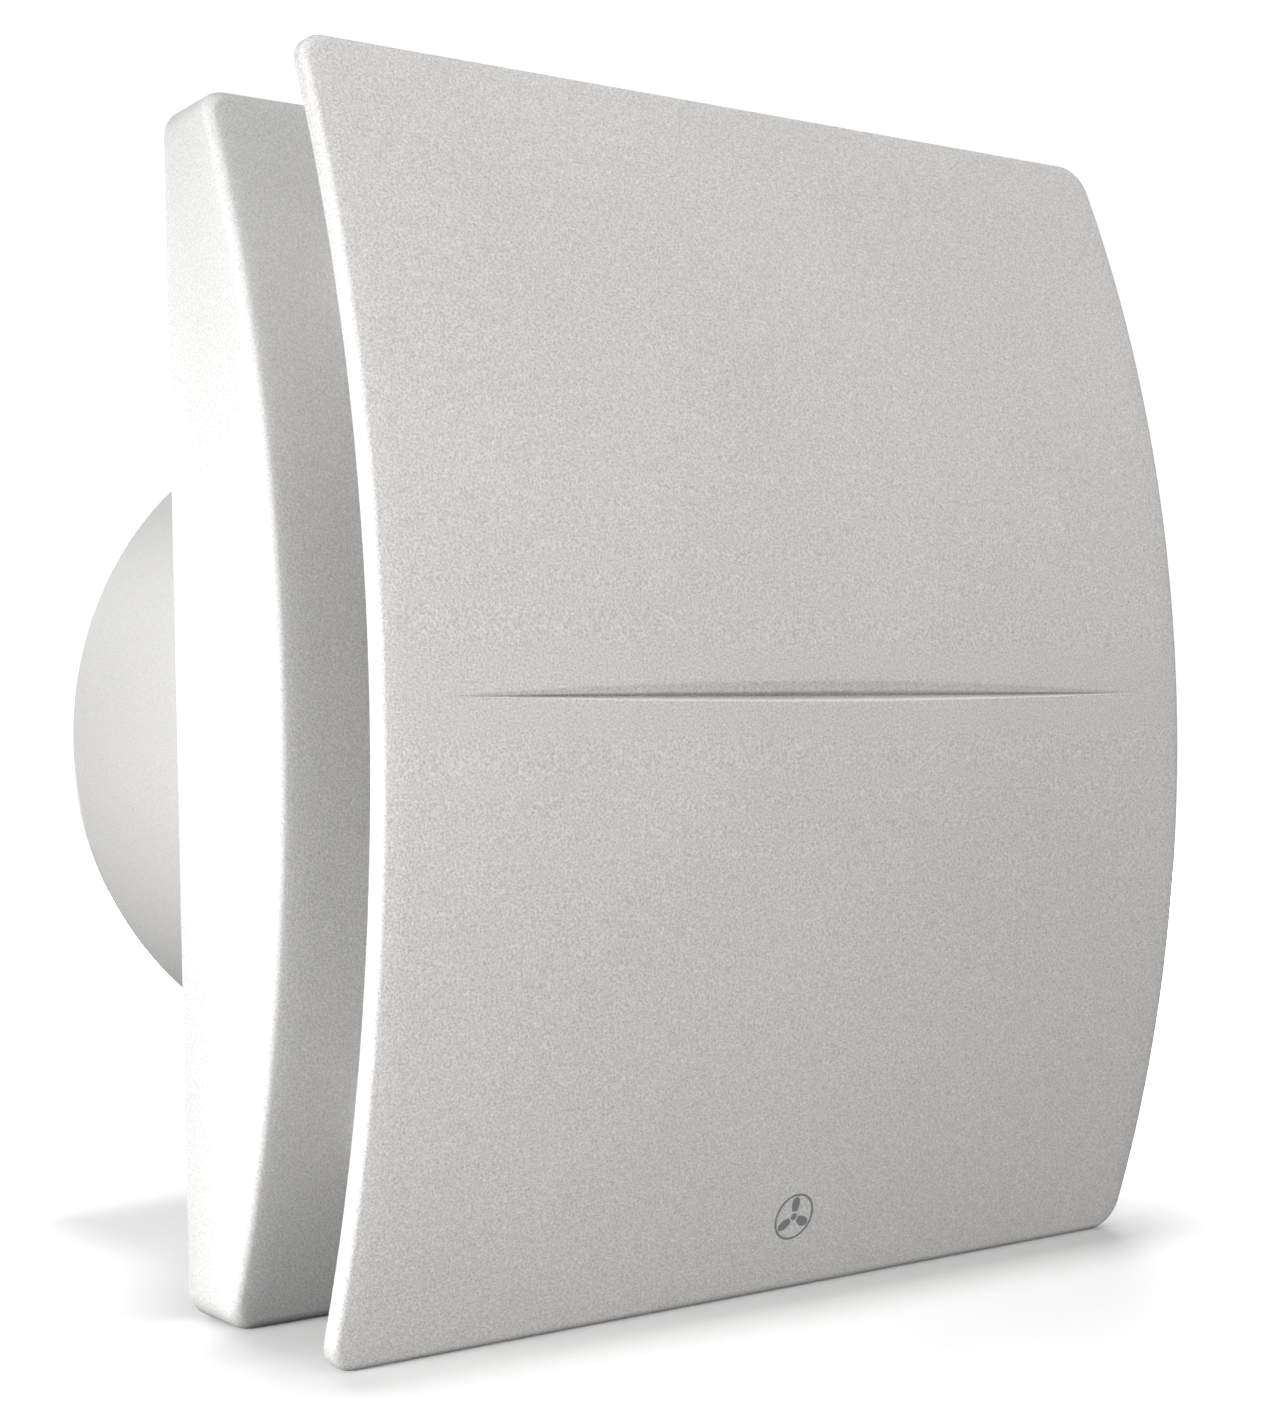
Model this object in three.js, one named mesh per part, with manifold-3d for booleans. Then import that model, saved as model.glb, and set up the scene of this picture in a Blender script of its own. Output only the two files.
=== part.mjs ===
// Wall-mounted axial extractor fan for a bathroom: a bowed cover panel on four push-in studs,
// a D-section casing, a base moulding with its duct spigot, a motor carrier with a small
// induction motor, a seven-blade impeller and a two-leaf backdraft damper.
// Millimetres, +Z up, +Y into the wall. The origin is on the spigot's axis in the wall plane.
import * as THREE from "three";
import { mergeVertices } from "three/addons/utils/BufferGeometryUtils.js";
import Module from "manifold-3d";

const wasm = await Module();
wasm.setup();

// ---------------------------------------------------------------- driving dimensions
const WIDTH = 149; // cover panel and casing share one outline
const HEIGHT = 180;
const CORNER_R = 4.5;
const Z_MID = 3; // the outline's centre is this far above the spigot's axis

const CASE_DEPTH_END = 12.8; // casing depth at its top and bottom edges
const CASE_SAG = 19.8; // extra depth of the bow at mid height
const WALL = 2.2;

const PANEL_REAR_END = 40.1; // cover panel's rear face at its top and bottom edges
const PANEL_T = 3.3;
const PANEL_SAG = 18.4;
const GROOVE_HALF = 65;
const GROOVE_W = 1.5;

const SPIGOT_R = 61.6;
const SPIGOT_BORE = 59.6;
const SPIGOT_L = 75;
const TUBE_FRONT = -17.6;
const FLANGE_R = 65.4;
const PLATE_T = 3;

const STEPS = 14; // facets along each bowed face

const INLET_R = 57;
const GUARD_Y = [-19.9, -17.9];

const STUD_X = 50;
const STUD_DZ = 60; // above and below the outline's centre
const SCREW_DZ = 80;

const BLADES = 7;
const HUB_R = 24;
const TIP_R = 57.3;
const CUP_BORE = 22.3;
const VANES = 4;
const VANE_A0 = 67.5; // degrees, the vane that carries the motor leads
const SHAFT_R = 2.5;

const DAMPER_Y = 67;
const FLAP_R = 58.2;
const SEAT_Y = [61.5, 64];

// ---------------------------------------------------------------- finishes
const finish = (color, roughness, metalness = 0) =>
  new THREE.MeshStandardMaterial({ color, roughness, metalness });
const WHITE = finish(0xe9e8e5, 0.55);
const WHITE_IN = finish(0xe2e1dd, 0.6);
const PALE_GREY = finish(0xc9cac8, 0.5);
const STEEL = finish(0xb9bcc0, 0.35, 1);
const DARK_STEEL = finish(0x6c6e72, 0.45, 1);
const COPPER = finish(0xb5622f, 0.4, 0.6);
const BRASS = finish(0xc9a24a, 0.35, 1);
const RUBBER = finish(0x2c2c2d, 0.85);
const BROWN = finish(0x6d3d22, 0.55);
const BLUE = finish(0x2c6fb5, 0.55);
const IVORY = finish(0xded8c6, 0.5);

// ---------------------------------------------------------------- solids
function toSolid(geometry) {
  const g = geometry.index ? geometry.toNonIndexed() : geometry.clone();
  for (const k of Object.keys(g.attributes))
    if (k !== "position") g.deleteAttribute(k);
  const m = mergeVertices(g, 1e-4);
  const src = m.index.array;
  const make = (flip) => {
    const tri = [];
    for (let i = 0; i < src.length; i += 3) {
      const [a, b, c] = [src[i], src[i + 1], src[i + 2]];
      if (a === b || b === c || a === c) continue;
      tri.push(a, flip ? c : b, flip ? b : c);
    }
    return new wasm.Manifold(
      new wasm.Mesh({
        numProp: 3,
        vertProperties: new Float32Array(m.attributes.position.array),
        triVerts: new Uint32Array(tri),
      }),
    );
  };
  const s = make(false);
  return s.volume() < 0 ? make(true) : s;
}

function toGeometry(solid) {
  const m = solid.getMesh();
  const n = m.numProp;
  const v = new Float32Array(m.numVert * 3);
  for (let i = 0; i < m.numVert; i++)
    v.set(m.vertProperties.subarray(i * n, i * n + 3), i * 3);
  const g = new THREE.BufferGeometry();
  g.setAttribute("position", new THREE.BufferAttribute(v, 3));
  g.setIndex(new THREE.BufferAttribute(new Uint32Array(m.triVerts), 1));
  return g;
}

// A shape drawn in X and Z, filling y0 to y1.
function plateY(shape, y0, y1, curveSegments = 12) {
  const g = new THREE.ExtrudeGeometry(shape, {
    depth: y1 - y0,
    bevelEnabled: false,
    curveSegments,
  });
  g.rotateX(Math.PI / 2);
  g.translate(0, y1, 0);
  return toSolid(g);
}

// A shape drawn in Y and Z, filling x0 to x1.
function barX(shape, x0, x1) {
  const g = new THREE.ExtrudeGeometry(shape, {
    depth: x1 - x0,
    bevelEnabled: false,
    curveSegments: 12,
  });
  g.applyMatrix4(
    new THREE.Matrix4().makeBasis(
      new THREE.Vector3(0, 1, 0),
      new THREE.Vector3(0, 0, 1),
      new THREE.Vector3(1, 0, 0),
    ),
  );
  g.translate(x0, 0, 0);
  return toSolid(g);
}

// A closed profile of [radius, y] points turned about the Y axis.
function turned(points, segments = 48) {
  const p = points.map(([r, y]) => new THREE.Vector2(r, y));
  const first = p[0],
    last = p[p.length - 1];
  if (first.x > 0 || last.x > 0) p.push(first.clone());
  return toSolid(new THREE.LatheGeometry(p, segments));
}

const rod = (r, y0, y1, segments = 24) =>
  turned(
    [
      [0, y0],
      [r, y0],
      [r, y1],
      [0, y1],
    ],
    segments,
  );
const ring = (r0, r1, y0, y1, segments = 48) =>
  turned(
    [
      [r0, y0],
      [r1, y0],
      [r1, y1],
      [r0, y1],
    ],
    segments,
  );

function block(x0, x1, y0, y1, z0, z1) {
  const g = new THREE.BoxGeometry(x1 - x0, y1 - y0, z1 - z0);
  g.translate((x0 + x1) / 2, (y0 + y1) / 2, (z0 + z1) / 2);
  return toSolid(g);
}

const move = (s, x, y, z) => s.translate([x, y, z]);
// Turns about the Y axis so that a piece along +X points towards angle a in X and Z.
const swing = (s, a) => s.rotate([0, -a, 0]);
const upright = (s) => s.rotate([90, 0, 0]); // a piece along Y stands along Z
const union = (list) => list.reduce((a, b) => a.add(b));

function roundedRect(w, h, r, cx = 0, cz = 0) {
  const s = new THREE.Shape();
  const x0 = cx - w / 2,
    x1 = cx + w / 2,
    z0 = cz - h / 2,
    z1 = cz + h / 2;
  s.moveTo(x0 + r, z0);
  s.lineTo(x1 - r, z0);
  s.absarc(x1 - r, z0 + r, r, -Math.PI / 2, 0, false);
  s.lineTo(x1, z1 - r);
  s.absarc(x1 - r, z1 - r, r, 0, Math.PI / 2, false);
  s.lineTo(x0 + r, z1);
  s.absarc(x0 + r, z1 - r, r, Math.PI / 2, Math.PI, false);
  s.lineTo(x0, z0 + r);
  s.absarc(x0 + r, z0 + r, r, Math.PI, 1.5 * Math.PI, false);
  return s;
}

// Height of a shallow arc of the given rise above its chord of length HEIGHT.
function bow(dz, sag) {
  const r = (HEIGHT * HEIGHT / 4 + sag * sag) / (2 * sag);
  return Math.sqrt(r * r - dz * dz) - (r - sag);
}

// Region between the y values front(z) and rear(z), as a shape in Y and Z.
function band(front, rear, z0, z1, steps) {
  const s = new THREE.Shape();
  const pts = [];
  for (let i = 0; i <= steps; i++) {
    const z = z0 + ((z1 - z0) * i) / steps;
    pts.push([front(z), z]);
  }
  for (let i = steps; i >= 0; i--) {
    const z = z0 + ((z1 - z0) * i) / steps;
    pts.push([rear(z), z]);
  }
  pts.forEach(([y, z], i) => (i ? s.lineTo(y, z) : s.moveTo(y, z)));
  s.closePath();
  return s;
}

const Z0 = Z_MID - HEIGHT / 2,
  Z1 = Z_MID + HEIGHT / 2;
const caseFront = (z) => -(CASE_DEPTH_END + bow(z - Z_MID, CASE_SAG));
const panelRear = (z) => -(PANEL_REAR_END + bow(z - Z_MID, PANEL_SAG));
const panelFront = (z) => panelRear(z) - PANEL_T;

const nodes = []; // [name, solid, material]
const add = (name, s, material) => nodes.push([name, s, material]);

// ---------------------------------------------------------------- cover panel and its studs
{
  const studs = [];
  for (const [tag, sx, sz] of [
    ["upper_left", -1, 1],
    ["upper_right", 1, 1],
    ["lower_left", -1, -1],
    ["lower_right", 1, -1],
  ])
    studs.push([tag, sx * STUD_X, Z_MID + sz * STUD_DZ]);

  let panel = barX(band(panelFront, panelRear, Z0, Z1, STEPS), -WIDTH / 2, WIDTH / 2);
  panel = panel.intersect(
    plateY(roundedRect(WIDTH, HEIGHT, CORNER_R, 0, Z_MID), -80, -20, 4),
  );
  for (const [, x, z] of studs)
    panel = panel.add(
      move(rod(6, -50.9, -46, 12), x, 0, z).intersect(
        barX(band((q) => panelRear(q) - 1, () => -30, Z0, Z1, STEPS), -80, 80),
      ),
    );
  const lens = new THREE.Shape();
  lens.moveTo(-GROOVE_HALF, Z_MID - 0.5);
  lens.quadraticCurveTo(0, Z_MID - 0.5 - 0.6, GROOVE_HALF, Z_MID - 0.5);
  lens.quadraticCurveTo(0, Z_MID - 0.5 + 2 * GROOVE_W, -GROOVE_HALF, Z_MID - 0.5);
  panel = panel.subtract(
    plateY(lens, -70, panelFront(Z_MID) + 0.7, 8),
  );
  add("front_panel", panel, WHITE);

  for (const [tag, x, z] of studs) {
    const stud = turned(
      [
        [0, -45.7],
        [5, -45.7],
        [5, -44],
        [2.9, -42.5],
        [2.9, -20],
        [3.05, -18.5],
        [2.9, -17],
        [1.6, -14],
        [0, -14],
      ],
      12,
    );
    add("panel_stud_" + tag, move(stud, x, 0, z), PALE_GREY);
    const bush = turned(
      [
        [3.4, -27.3],
        [6.2, -27.3],
        [6.2, -26.3],
        [4.35, -26.3],
        [4.35, -12.2],
        [3.4, -12.2],
      ],
      12,
    );
    add("stud_bush_" + tag, move(bush, x, 0, z), RUBBER);
  }
}

// ---------------------------------------------------------------- casing
{
  const outer = barX(
    band(caseFront, () => 0, Z0, Z1, STEPS),
    -WIDTH / 2,
    WIDTH / 2,
  ).intersect(plateY(roundedRect(WIDTH, HEIGHT, CORNER_R, 0, Z_MID), -50, 1, 4));
  const inner = barX(
    band((z) => caseFront(z) + WALL, () => 5, Z0, Z1, STEPS),
    -WIDTH / 2 + WALL,
    WIDTH / 2 - WALL,
  ).intersect(
    plateY(
      roundedRect(WIDTH - 2 * WALL, HEIGHT - 2 * WALL, CORNER_R - WALL, 0, Z_MID),
      -50,
      5,
      3,
    ),
  );
  let shell = outer.subtract(inner);
  // inlet with its inward collar
  shell = shell.add(
    ring(INLET_R - 1, INLET_R + 2.2, -40, -20.2, 36).intersect(outer),
  );
  shell = shell.subtract(rod(INLET_R, -60, -10, 36));
  // flat-topped bosses that hold the rubber bushes
  for (const x of [-STUD_X, STUD_X])
    for (const z of [Z_MID - STUD_DZ, Z_MID + STUD_DZ]) {
      shell = shell.add(move(rod(7, -26, -13, 16), x, 0, z));
      shell = shell.subtract(move(rod(4.75, -60, -1, 16), x, 0, z));
    }
  // sunk seats for the two casing screws
  for (const z of [Z_MID - SCREW_DZ, Z_MID + SCREW_DZ]) {
    shell = shell.add(
      move(rod(6.5, -30, -11, 16), 0, 0, z).intersect(outer),
    );
    shell = shell.subtract(move(rod(4.6, -60, -13, 16), 0, 0, z));
    shell = shell.subtract(move(rod(2, -60, -1, 12), 0, 0, z));
  }
  add("casing_shell", shell, WHITE);
  for (const [tag, z] of [
    ["upper", Z_MID + SCREW_DZ],
    ["lower", Z_MID - SCREW_DZ],
  ]) {
    let s = turned(
      [
        [0, -15.6],
        [3, -15.4],
        [4, -14.6],
        [4, -13.3],
        [1.6, -13.3],
        [1.6, -5],
        [0.6, -3.8],
        [0, -3.8],
      ],
      10,
    );
    s = s.subtract(block(-2.4, 2.4, -17, -14.6, -0.4, 0.4));
    s = s.subtract(block(-0.4, 0.4, -17, -14.6, -2.4, 2.4));
    add("casing_screw_" + tag, move(s, 0, 0, z), STEEL);
  }
}

// ---------------------------------------------------------------- inlet guard
{
  const [y0, y1] = GUARD_Y;
  const parts = [ring(56, 61.2, y0, y1, 36), rod(9, y0, y1, 16)];
  for (const r of [18, 27.5, 37, 46.5])
    parts.push(ring(r, r + 1.8, y0, y1, r < 30 ? 16 : 24));
  for (let i = 0; i < 8; i++)
    parts.push(swing(block(8, 57, y0, y1, -0.9, 0.9), 22.5 + 45 * i));
  add("inlet_guard", union(parts), WHITE_IN);
}

// ---------------------------------------------------------------- base plate
{
  let base = plateY(
    roundedRect(WIDTH - 2 * WALL - 0.6, HEIGHT - 2 * WALL - 0.6, 2, 0, Z_MID),
    -PLATE_T,
    0,
    3,
  );
  base = base.subtract(rod(SPIGOT_R + 0.4, -10, 5, 36));
  // posts for the casing screws
  for (const z of [Z_MID - SCREW_DZ, Z_MID + SCREW_DZ]) {
    base = base.add(move(rod(4.5, -10.7, -1, 16), 0, 0, z));
    base = base.subtract(move(rod(1.9, -20, -2.2, 12), 0, 0, z));
  }
  // keyholes for the wall screws
  for (const sx of [-1, 1])
    for (const z of [Z_MID + 77, Z_MID - 77]) {
      const key = block(-3, 3, -10, 5, -2, 5)
        .add(move(rod(4, -10, 5, 16), 0, 0, -4))
        .add(move(rod(3, -10, 5, 12), 0, 0, 5));
      base = base.subtract(move(key, sx * 62, 0, z));
    }
  // cable entry
  base = base.subtract(move(rod(7.2, -10, 5, 24), -44, 0, 76));
  // posts for the cable clamp
  for (const x of [-27, -9]) {
    base = base.add(move(rod(3, -6.5, -1, 14), x, 0, 75));
    base = base.subtract(move(rod(1.5, -20, -1.5, 10), x, 0, 75));
  }
  add("base_plate", base, WHITE);
}

// ---------------------------------------------------------------- duct spigot
{
  let tube = turned(
    [
      [SPIGOT_BORE - 1, TUBE_FRONT],
      [SPIGOT_R, TUBE_FRONT],
      [SPIGOT_R, -4.9],
      [FLANGE_R, -4.9],
      [FLANGE_R, -3.3],
      [SPIGOT_R, -3.3],
      [SPIGOT_R, SPIGOT_L - 2.6],
      [SPIGOT_R - 0.6, SPIGOT_L],
      [SPIGOT_BORE - 1, SPIGOT_L],
    ],
    36,
  );
  tube = tube.subtract(rod(SPIGOT_BORE, -40, 100, 36));
  // seat that the damper leaves close against, and the two lugs that hold its spindle
  tube = tube.add(ring(54.5, SPIGOT_BORE + 0.8, SEAT_Y[0], SEAT_Y[1], 36));
  for (const s of [-1, 1])
    tube = tube.add(
      block(-4.6, 4.6, 61.5, 71.5, s > 0 ? 54.5 : -60.2, s > 0 ? 60.2 : -54.5),
    );
  tube = tube.subtract(move(upright(rod(1.8, -58.6, 58.6, 14)), 0, DAMPER_Y, 0));
  // notch for the motor leads
  tube = tube.subtract(swing(block(57, 68, -7.8, -2.6, -2.9, 2.9), VANE_A0));
  add("duct_spigot", tube, WHITE);
}

// ---------------------------------------------------------------- cable entry, clamp, terminals
add(
  "cable_grommet",
  move(
    turned(
      [
        [4.6, -5],
        [9.2, -5],
        [9.2, -3.3],
        [6.9, -3.3],
        [6.9, -0.2],
        [4.6, -0.2],
      ],
      24,
    ),
    -44,
    0,
    76,
  ),
  RUBBER,
);
{
  let clamp = block(-31, -5, -9.2, -6.8, 71.5, 78.5);
  clamp = clamp.add(block(-23.6, -12.4, -11.6, -6.8, 71.5, 78.5));
  clamp = clamp.subtract(
    rod(4.4, -20, 20, 20).rotate([90, 0, 0]).translate([-18, -5.6, 75]),
  );
  for (const x of [-27, -9]) clamp = clamp.subtract(move(rod(1.6, -20, 0, 10), x, 0, 75));
  add("cable_clamp", clamp, IVORY);
  for (const [tag, x] of [
    ["left", -27],
    ["right", -9],
  ]) {
    let s = turned(
      [
        [0, -11.4],
        [2.6, -11],
        [2.6, -9.5],
        [1.2, -9.5],
        [1.2, -3],
        [0, -2.4],
      ],
      8,
    );
    s = s.subtract(block(-2, 2, -13, -10.6, -0.35, 0.35));
    add("clamp_screw_" + tag, move(s, x, 0, 75), STEEL);
  }
}
{
  const x0 = 10,
    pitch = 10;
  let body = block(x0, x0 + 3 * pitch, -12.6, -3.3, 69, 84);
  for (let i = 0; i < 3; i++) {
    const x = x0 + pitch * (i + 0.5);
    for (const z of [72.6, 80.4]) body = body.subtract(move(rod(2.8, -20, -5.4, 10), x, 0, z));
    body = body.subtract(block(x - 1.7, x + 1.7, -8.6, -5.2, 60, 90));
  }
  for (let i = 1; i < 3; i++)
    body = body.subtract(
      block(x0 + pitch * i - 0.6, x0 + pitch * i + 0.6, -20, -10.8, 60, 90),
    );
  add("terminal_block", body, IVORY);
  for (let i = 0; i < 3; i++)
    for (const [tag, z] of [
      ["supply", 80.4],
      ["motor", 72.6],
    ]) {
      let s = rod(2.2, -11.8, -9, 8);
      s = s.subtract(block(-3, 3, -13, -11.1, -0.35, 0.35));
      add(
        "terminal_screw_" + tag + "_" + (i + 1),
        move(s, x0 + pitch * (i + 0.5), 0, z),
        BRASS,
      );
    }
}

// ---------------------------------------------------------------- motor carrier
{
  const cup = turned(
    [
      [3.4, -6.4],
      [8, -6.4],
      [8, 0],
      [HUB_R, 0],
      [HUB_R, 34],
      [CUP_BORE, 34],
      [CUP_BORE, 2],
      [5.75, 2],
      [5.75, -5.4],
      [3.4, -5.4],
    ],
    32,
  );
  const parts = [cup, ring(57.6, 59.3, 1, 27, 36)];
  for (let i = 0; i < VANES; i++)
    parts.push(swing(block(HUB_R - 1, 58.2, 3.4, 25, -0.9, 0.9), VANE_A0 + (360 / VANES) * i));
  let carrier = union(parts);
  carrier = carrier.subtract(swing(block(18, 26, -1, 6.2, -2.6, 2.6), VANE_A0));
  // lugs on the cup's rim for the cover screws
  for (let i = 0; i < 3; i++) {
    const a = 22.5 + 120 * i;
    carrier = carrier.add(
      swing(rod(3.2, 26, 34, 12).translate([25.2, 0, 0]), a).subtract(rod(CUP_BORE, 20, 40, 32)),
    );
    carrier = carrier.subtract(swing(rod(1.5, 27, 40, 8).translate([25.4, 0, 0]), a));
  }
  add("motor_carrier", carrier, WHITE_IN);
}

// ---------------------------------------------------------------- motor
add("stator_core", ring(13.8, 21.8, 10, 26, 32), DARK_STEEL);
for (const [tag, a, b] of [
  ["front", 6.6, 9.7],
  ["rear", 26.3, 31],
])
  add(
    "stator_winding_" + tag,
    turned(
      [
        [14.8, a],
        [20, a],
        [21.2, (a + b) / 2],
        [20, b],
        [14.8, b],
      ],
      32,
    ),
    COPPER,
  );
add("bearing_front", ring(SHAFT_R + 0.3, 5.4, -5.1, -0.4, 20), STEEL);
add("bearing_rear", ring(SHAFT_R + 0.3, 5.4, 34.4, 39.1, 20), STEEL);
{
  let cover = turned(
    [
      [0, 41.8],
      [8, 41.8],
      [8, 37.3],
      [HUB_R, 37.3],
      [HUB_R, 34.3],
      [5.8, 34.3],
      [5.8, 39.4],
      [3.4, 39.4],
      [3.4, 40.6],
      [0, 40.6],
    ],
    32,
  );
  for (let i = 0; i < 3; i++) {
    const a = 22.5 + 120 * i;
    cover = cover.add(
      swing(rod(3.2, 34.3, 37.3, 12).translate([25.2, 0, 0]), a),
    );
    cover = cover.subtract(swing(rod(1.6, 30, 40, 8).translate([25.4, 0, 0]), a));
  }
  for (let i = 0; i < 6; i++)
    cover = cover.subtract(
      swing(block(11, 19.5, 30, 40, -1.6, 1.6), 52.5 + 60 * i),
    );
  add("motor_cover", cover, WHITE_IN);
  for (let i = 0; i < 3; i++) {
    let s = turned(
      [
        [0, 39.3],
        [2.4, 38.9],
        [2.4, 37.6],
        [1.05, 37.6],
        [1.05, 29],
        [0, 28.4],
      ],
      8,
    );
    s = s.subtract(block(-1.8, 1.8, 38.5, 42, -0.3, 0.3));
    add(
      "motor_cover_screw_" + (i + 1),
      swing(s.translate([25.4, 0, 0]), 22.5 + 120 * i),
      STEEL,
    );
  }
}

// ---------------------------------------------------------------- rotor, shaft and impeller
add(
  "motor_shaft",
  turned(
    [
      [0, -17],
      [2, -17],
      [SHAFT_R, -16.6],
      [SHAFT_R, 38.8],
      [2, 39.3],
      [0, 39.3],
    ],
    20,
  ),
  STEEL,
);
add("motor_rotor", ring(SHAFT_R + 0.3, 13.2, 10, 26, 28), DARK_STEEL);
{
  let hub = turned(
    [
      [SHAFT_R - 0.6, -15.2],
      [20.5, -15.2],
      [22.9, -14.2],
      [HUB_R, -12],
      [HUB_R, -2.6],
      [22.2, -2.6],
      [22.2, -11.4],
      [20.5, -13.2],
      [6, -13.2],
      [6, -8],
      [SHAFT_R - 0.6, -8],
    ],
    32,
  );
  const parts = [hub];
  for (let k = 0; k < BLADES; k++) {
    const g = new THREE.BoxGeometry(1, 1, 1, 3, 1, 4);
    const p = g.attributes.position;
    for (let i = 0; i < p.count; i++) {
      const u = p.getX(i) + 0.5; // hub to tip
      const s = p.getZ(i); // trailing to leading, -0.5 to 0.5
      const t = p.getY(i); // through the thickness
      const r = HUB_R - 0.7 + (TIP_R - HUB_R + 0.7) * u;
      const chord = 21 + 15 * u; // along the circle
      const rise = 11.4 - 4.4 * u; // along the axis
      const thick = (1.9 - 0.6 * u) * (1 - 1.6 * s * s);
      const camber = (2.2 - 0.8 * u) * (1 - 4 * s * s);
      const a = (s * chord) / r + (k * 2 * Math.PI) / BLADES + 0.16 * u * u;
      const y = -8.9 - s * rise - camber * 0.5 + t * thick;
      p.setXYZ(i, r * Math.cos(a), y, r * Math.sin(a));
    }
    parts.push(toSolid(g));
  }
  const bore = rod(SHAFT_R + 0.3, -30, 10, 20);
  add("impeller", union(parts).subtract(bore), PALE_GREY);
}
{
  let clip = ring(SHAFT_R + 0.3, 5.4, -16.5, -15.5, 20);
  clip = clip.subtract(block(2, 7, -20, -10, -1, 1));
  for (const a of [90, 180, 270])
    clip = clip.subtract(swing(block(1, 3.9, -20, -10, -0.6, 0.6), a));
  add("impeller_clip", clip, STEEL);
}

// ---------------------------------------------------------------- motor leads
function lead(points, r) {
  const path = new THREE.CatmullRomCurve3(
    points.map((p) => new THREE.Vector3(...p)),
    false,
    "centripetal",
  );
  const section = new THREE.Shape();
  for (let i = 0; i < 8; i++) {
    const a = (i * Math.PI) / 4;
    const q = [r * Math.cos(a), r * Math.sin(a)];
    if (i) section.lineTo(...q);
    else section.moveTo(...q);
  }
  section.closePath();
  return toSolid(
    new THREE.ExtrudeGeometry(section, {
      steps: 20,
      bevelEnabled: false,
      extrudePath: path,
    }),
  );
}
{
  const A = (VANE_A0 * Math.PI) / 180;
  const at = (r, side, y) => [
    r * Math.cos(A) - side * Math.sin(A),
    y,
    r * Math.sin(A) + side * Math.cos(A),
  ];
  for (const [name, side, x, material] of [
    ["motor_lead_live", -1.15, 25, BROWN],
    ["motor_lead_neutral", 1.15, 15, BLUE],
  ])
    add(
      name,
      lead(
        [
          [x, -6.9, 71],
          [x, -6.9, 68.4],
          at(66.5, side, -6.6),
          at(63, side, -5.7),
          at(60, side, -4.5),
          at(57, side, -2.8),
          at(54, side, -0.5),
          at(50, side, 1.5),
          at(36, side, 1.7),
          at(26, side, 1.9),
          at(22.2, side, 2.9),
          at(20, side, 5.2),
        ],
        0.85,
      ),
      material,
    );
}

// ---------------------------------------------------------------- backdraft damper
add(
  "damper_spindle",
  move(upright(rod(1.5, -58.2, 58.2, 14)), 0, DAMPER_Y, 0),
  STEEL,
);
for (const [tag, s] of [
  ["left", -1],
  ["right", 1],
]) {
  const half = new THREE.Shape();
  const a = Math.acos(3.4 / FLAP_R);
  half.moveTo(3.4, -FLAP_R * Math.sin(a));
  half.absarc(0, 0, FLAP_R, -a, a, false);
  half.closePath();
  let flap = plateY(half, 64.3, 65.5, 28);
  flap = flap.subtract(block(0, 8.6, 60, 70, 53.4, 60));
  flap = flap.subtract(block(0, 8.6, 60, 70, -60, -53.4));
  // stiffening rib and hinge knuckles
  flap = flap.add(block(9, 46, 65.2, 66.6, -0.7, 0.7));
  for (const [z0, z1] of s > 0
    ? [
        [24, 40],
        [-24, -10],
      ]
    : [
        [10, 24 - 0.4],
        [-40, -24.4],
      ]) {
    const zc = (z0 + z1) / 2,
      len = z1 - z0;
    let knuckle = move(upright(rod(2.9, -len / 2, len / 2, 16)), 0, DAMPER_Y, zc);
    knuckle = knuckle.add(block(1.6, 4.4, 64.3, 67, z0, z1));
    flap = flap.add(knuckle);
  }
  flap = flap.subtract(move(upright(rod(1.75, -70, 70, 14)), 0, DAMPER_Y, 0));
  if (s < 0) flap = flap.mirror([1, 0, 0]);
  add("damper_flap_" + tag, flap, PALE_GREY);
}
for (const [tag, z] of [
  ["left", 0.4],
  ["right", -9],
])
  add(
    "damper_spring_" + tag,
    move(
      upright(
        turned(
          [
            [1.75, 0],
            [2.6, 0],
            [2.6, 8.6],
            [1.75, 8.6],
          ],
          12,
        ),
      ),
      0,
      DAMPER_Y,
      z,
    ),
    STEEL,
  );

// ---------------------------------------------------------------- scene graph
const fan = new THREE.Group();
for (const [name, s, material] of nodes) {
  const mesh = new THREE.Mesh(toGeometry(s), material);
  mesh.name = name;
  fan.add(mesh);
}

export default fan;
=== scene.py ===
# Bathroom extractor fan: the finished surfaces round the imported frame.
import math

import bpy
import bmesh
import numpy as np
from mathutils import Matrix, Vector
from mathutils.geometry import delaunay_2d_cdt


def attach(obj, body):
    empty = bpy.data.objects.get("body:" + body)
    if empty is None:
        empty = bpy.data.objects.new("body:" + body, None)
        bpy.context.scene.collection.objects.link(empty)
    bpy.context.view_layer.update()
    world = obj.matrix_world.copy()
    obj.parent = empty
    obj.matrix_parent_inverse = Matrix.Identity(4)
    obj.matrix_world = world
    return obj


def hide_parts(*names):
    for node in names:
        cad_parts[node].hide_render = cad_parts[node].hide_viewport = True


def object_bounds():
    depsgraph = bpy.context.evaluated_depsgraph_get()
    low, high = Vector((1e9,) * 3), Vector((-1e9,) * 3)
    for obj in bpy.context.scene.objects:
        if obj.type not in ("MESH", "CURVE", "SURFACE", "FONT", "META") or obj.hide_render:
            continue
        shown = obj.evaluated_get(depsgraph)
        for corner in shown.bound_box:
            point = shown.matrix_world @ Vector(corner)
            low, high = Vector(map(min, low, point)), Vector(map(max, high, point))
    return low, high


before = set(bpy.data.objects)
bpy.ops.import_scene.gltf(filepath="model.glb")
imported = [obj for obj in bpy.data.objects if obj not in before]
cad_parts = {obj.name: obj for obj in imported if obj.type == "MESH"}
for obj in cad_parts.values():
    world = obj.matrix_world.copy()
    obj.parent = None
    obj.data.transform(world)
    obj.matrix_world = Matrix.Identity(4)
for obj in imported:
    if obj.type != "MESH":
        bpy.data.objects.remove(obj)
CAD_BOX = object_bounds()
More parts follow.
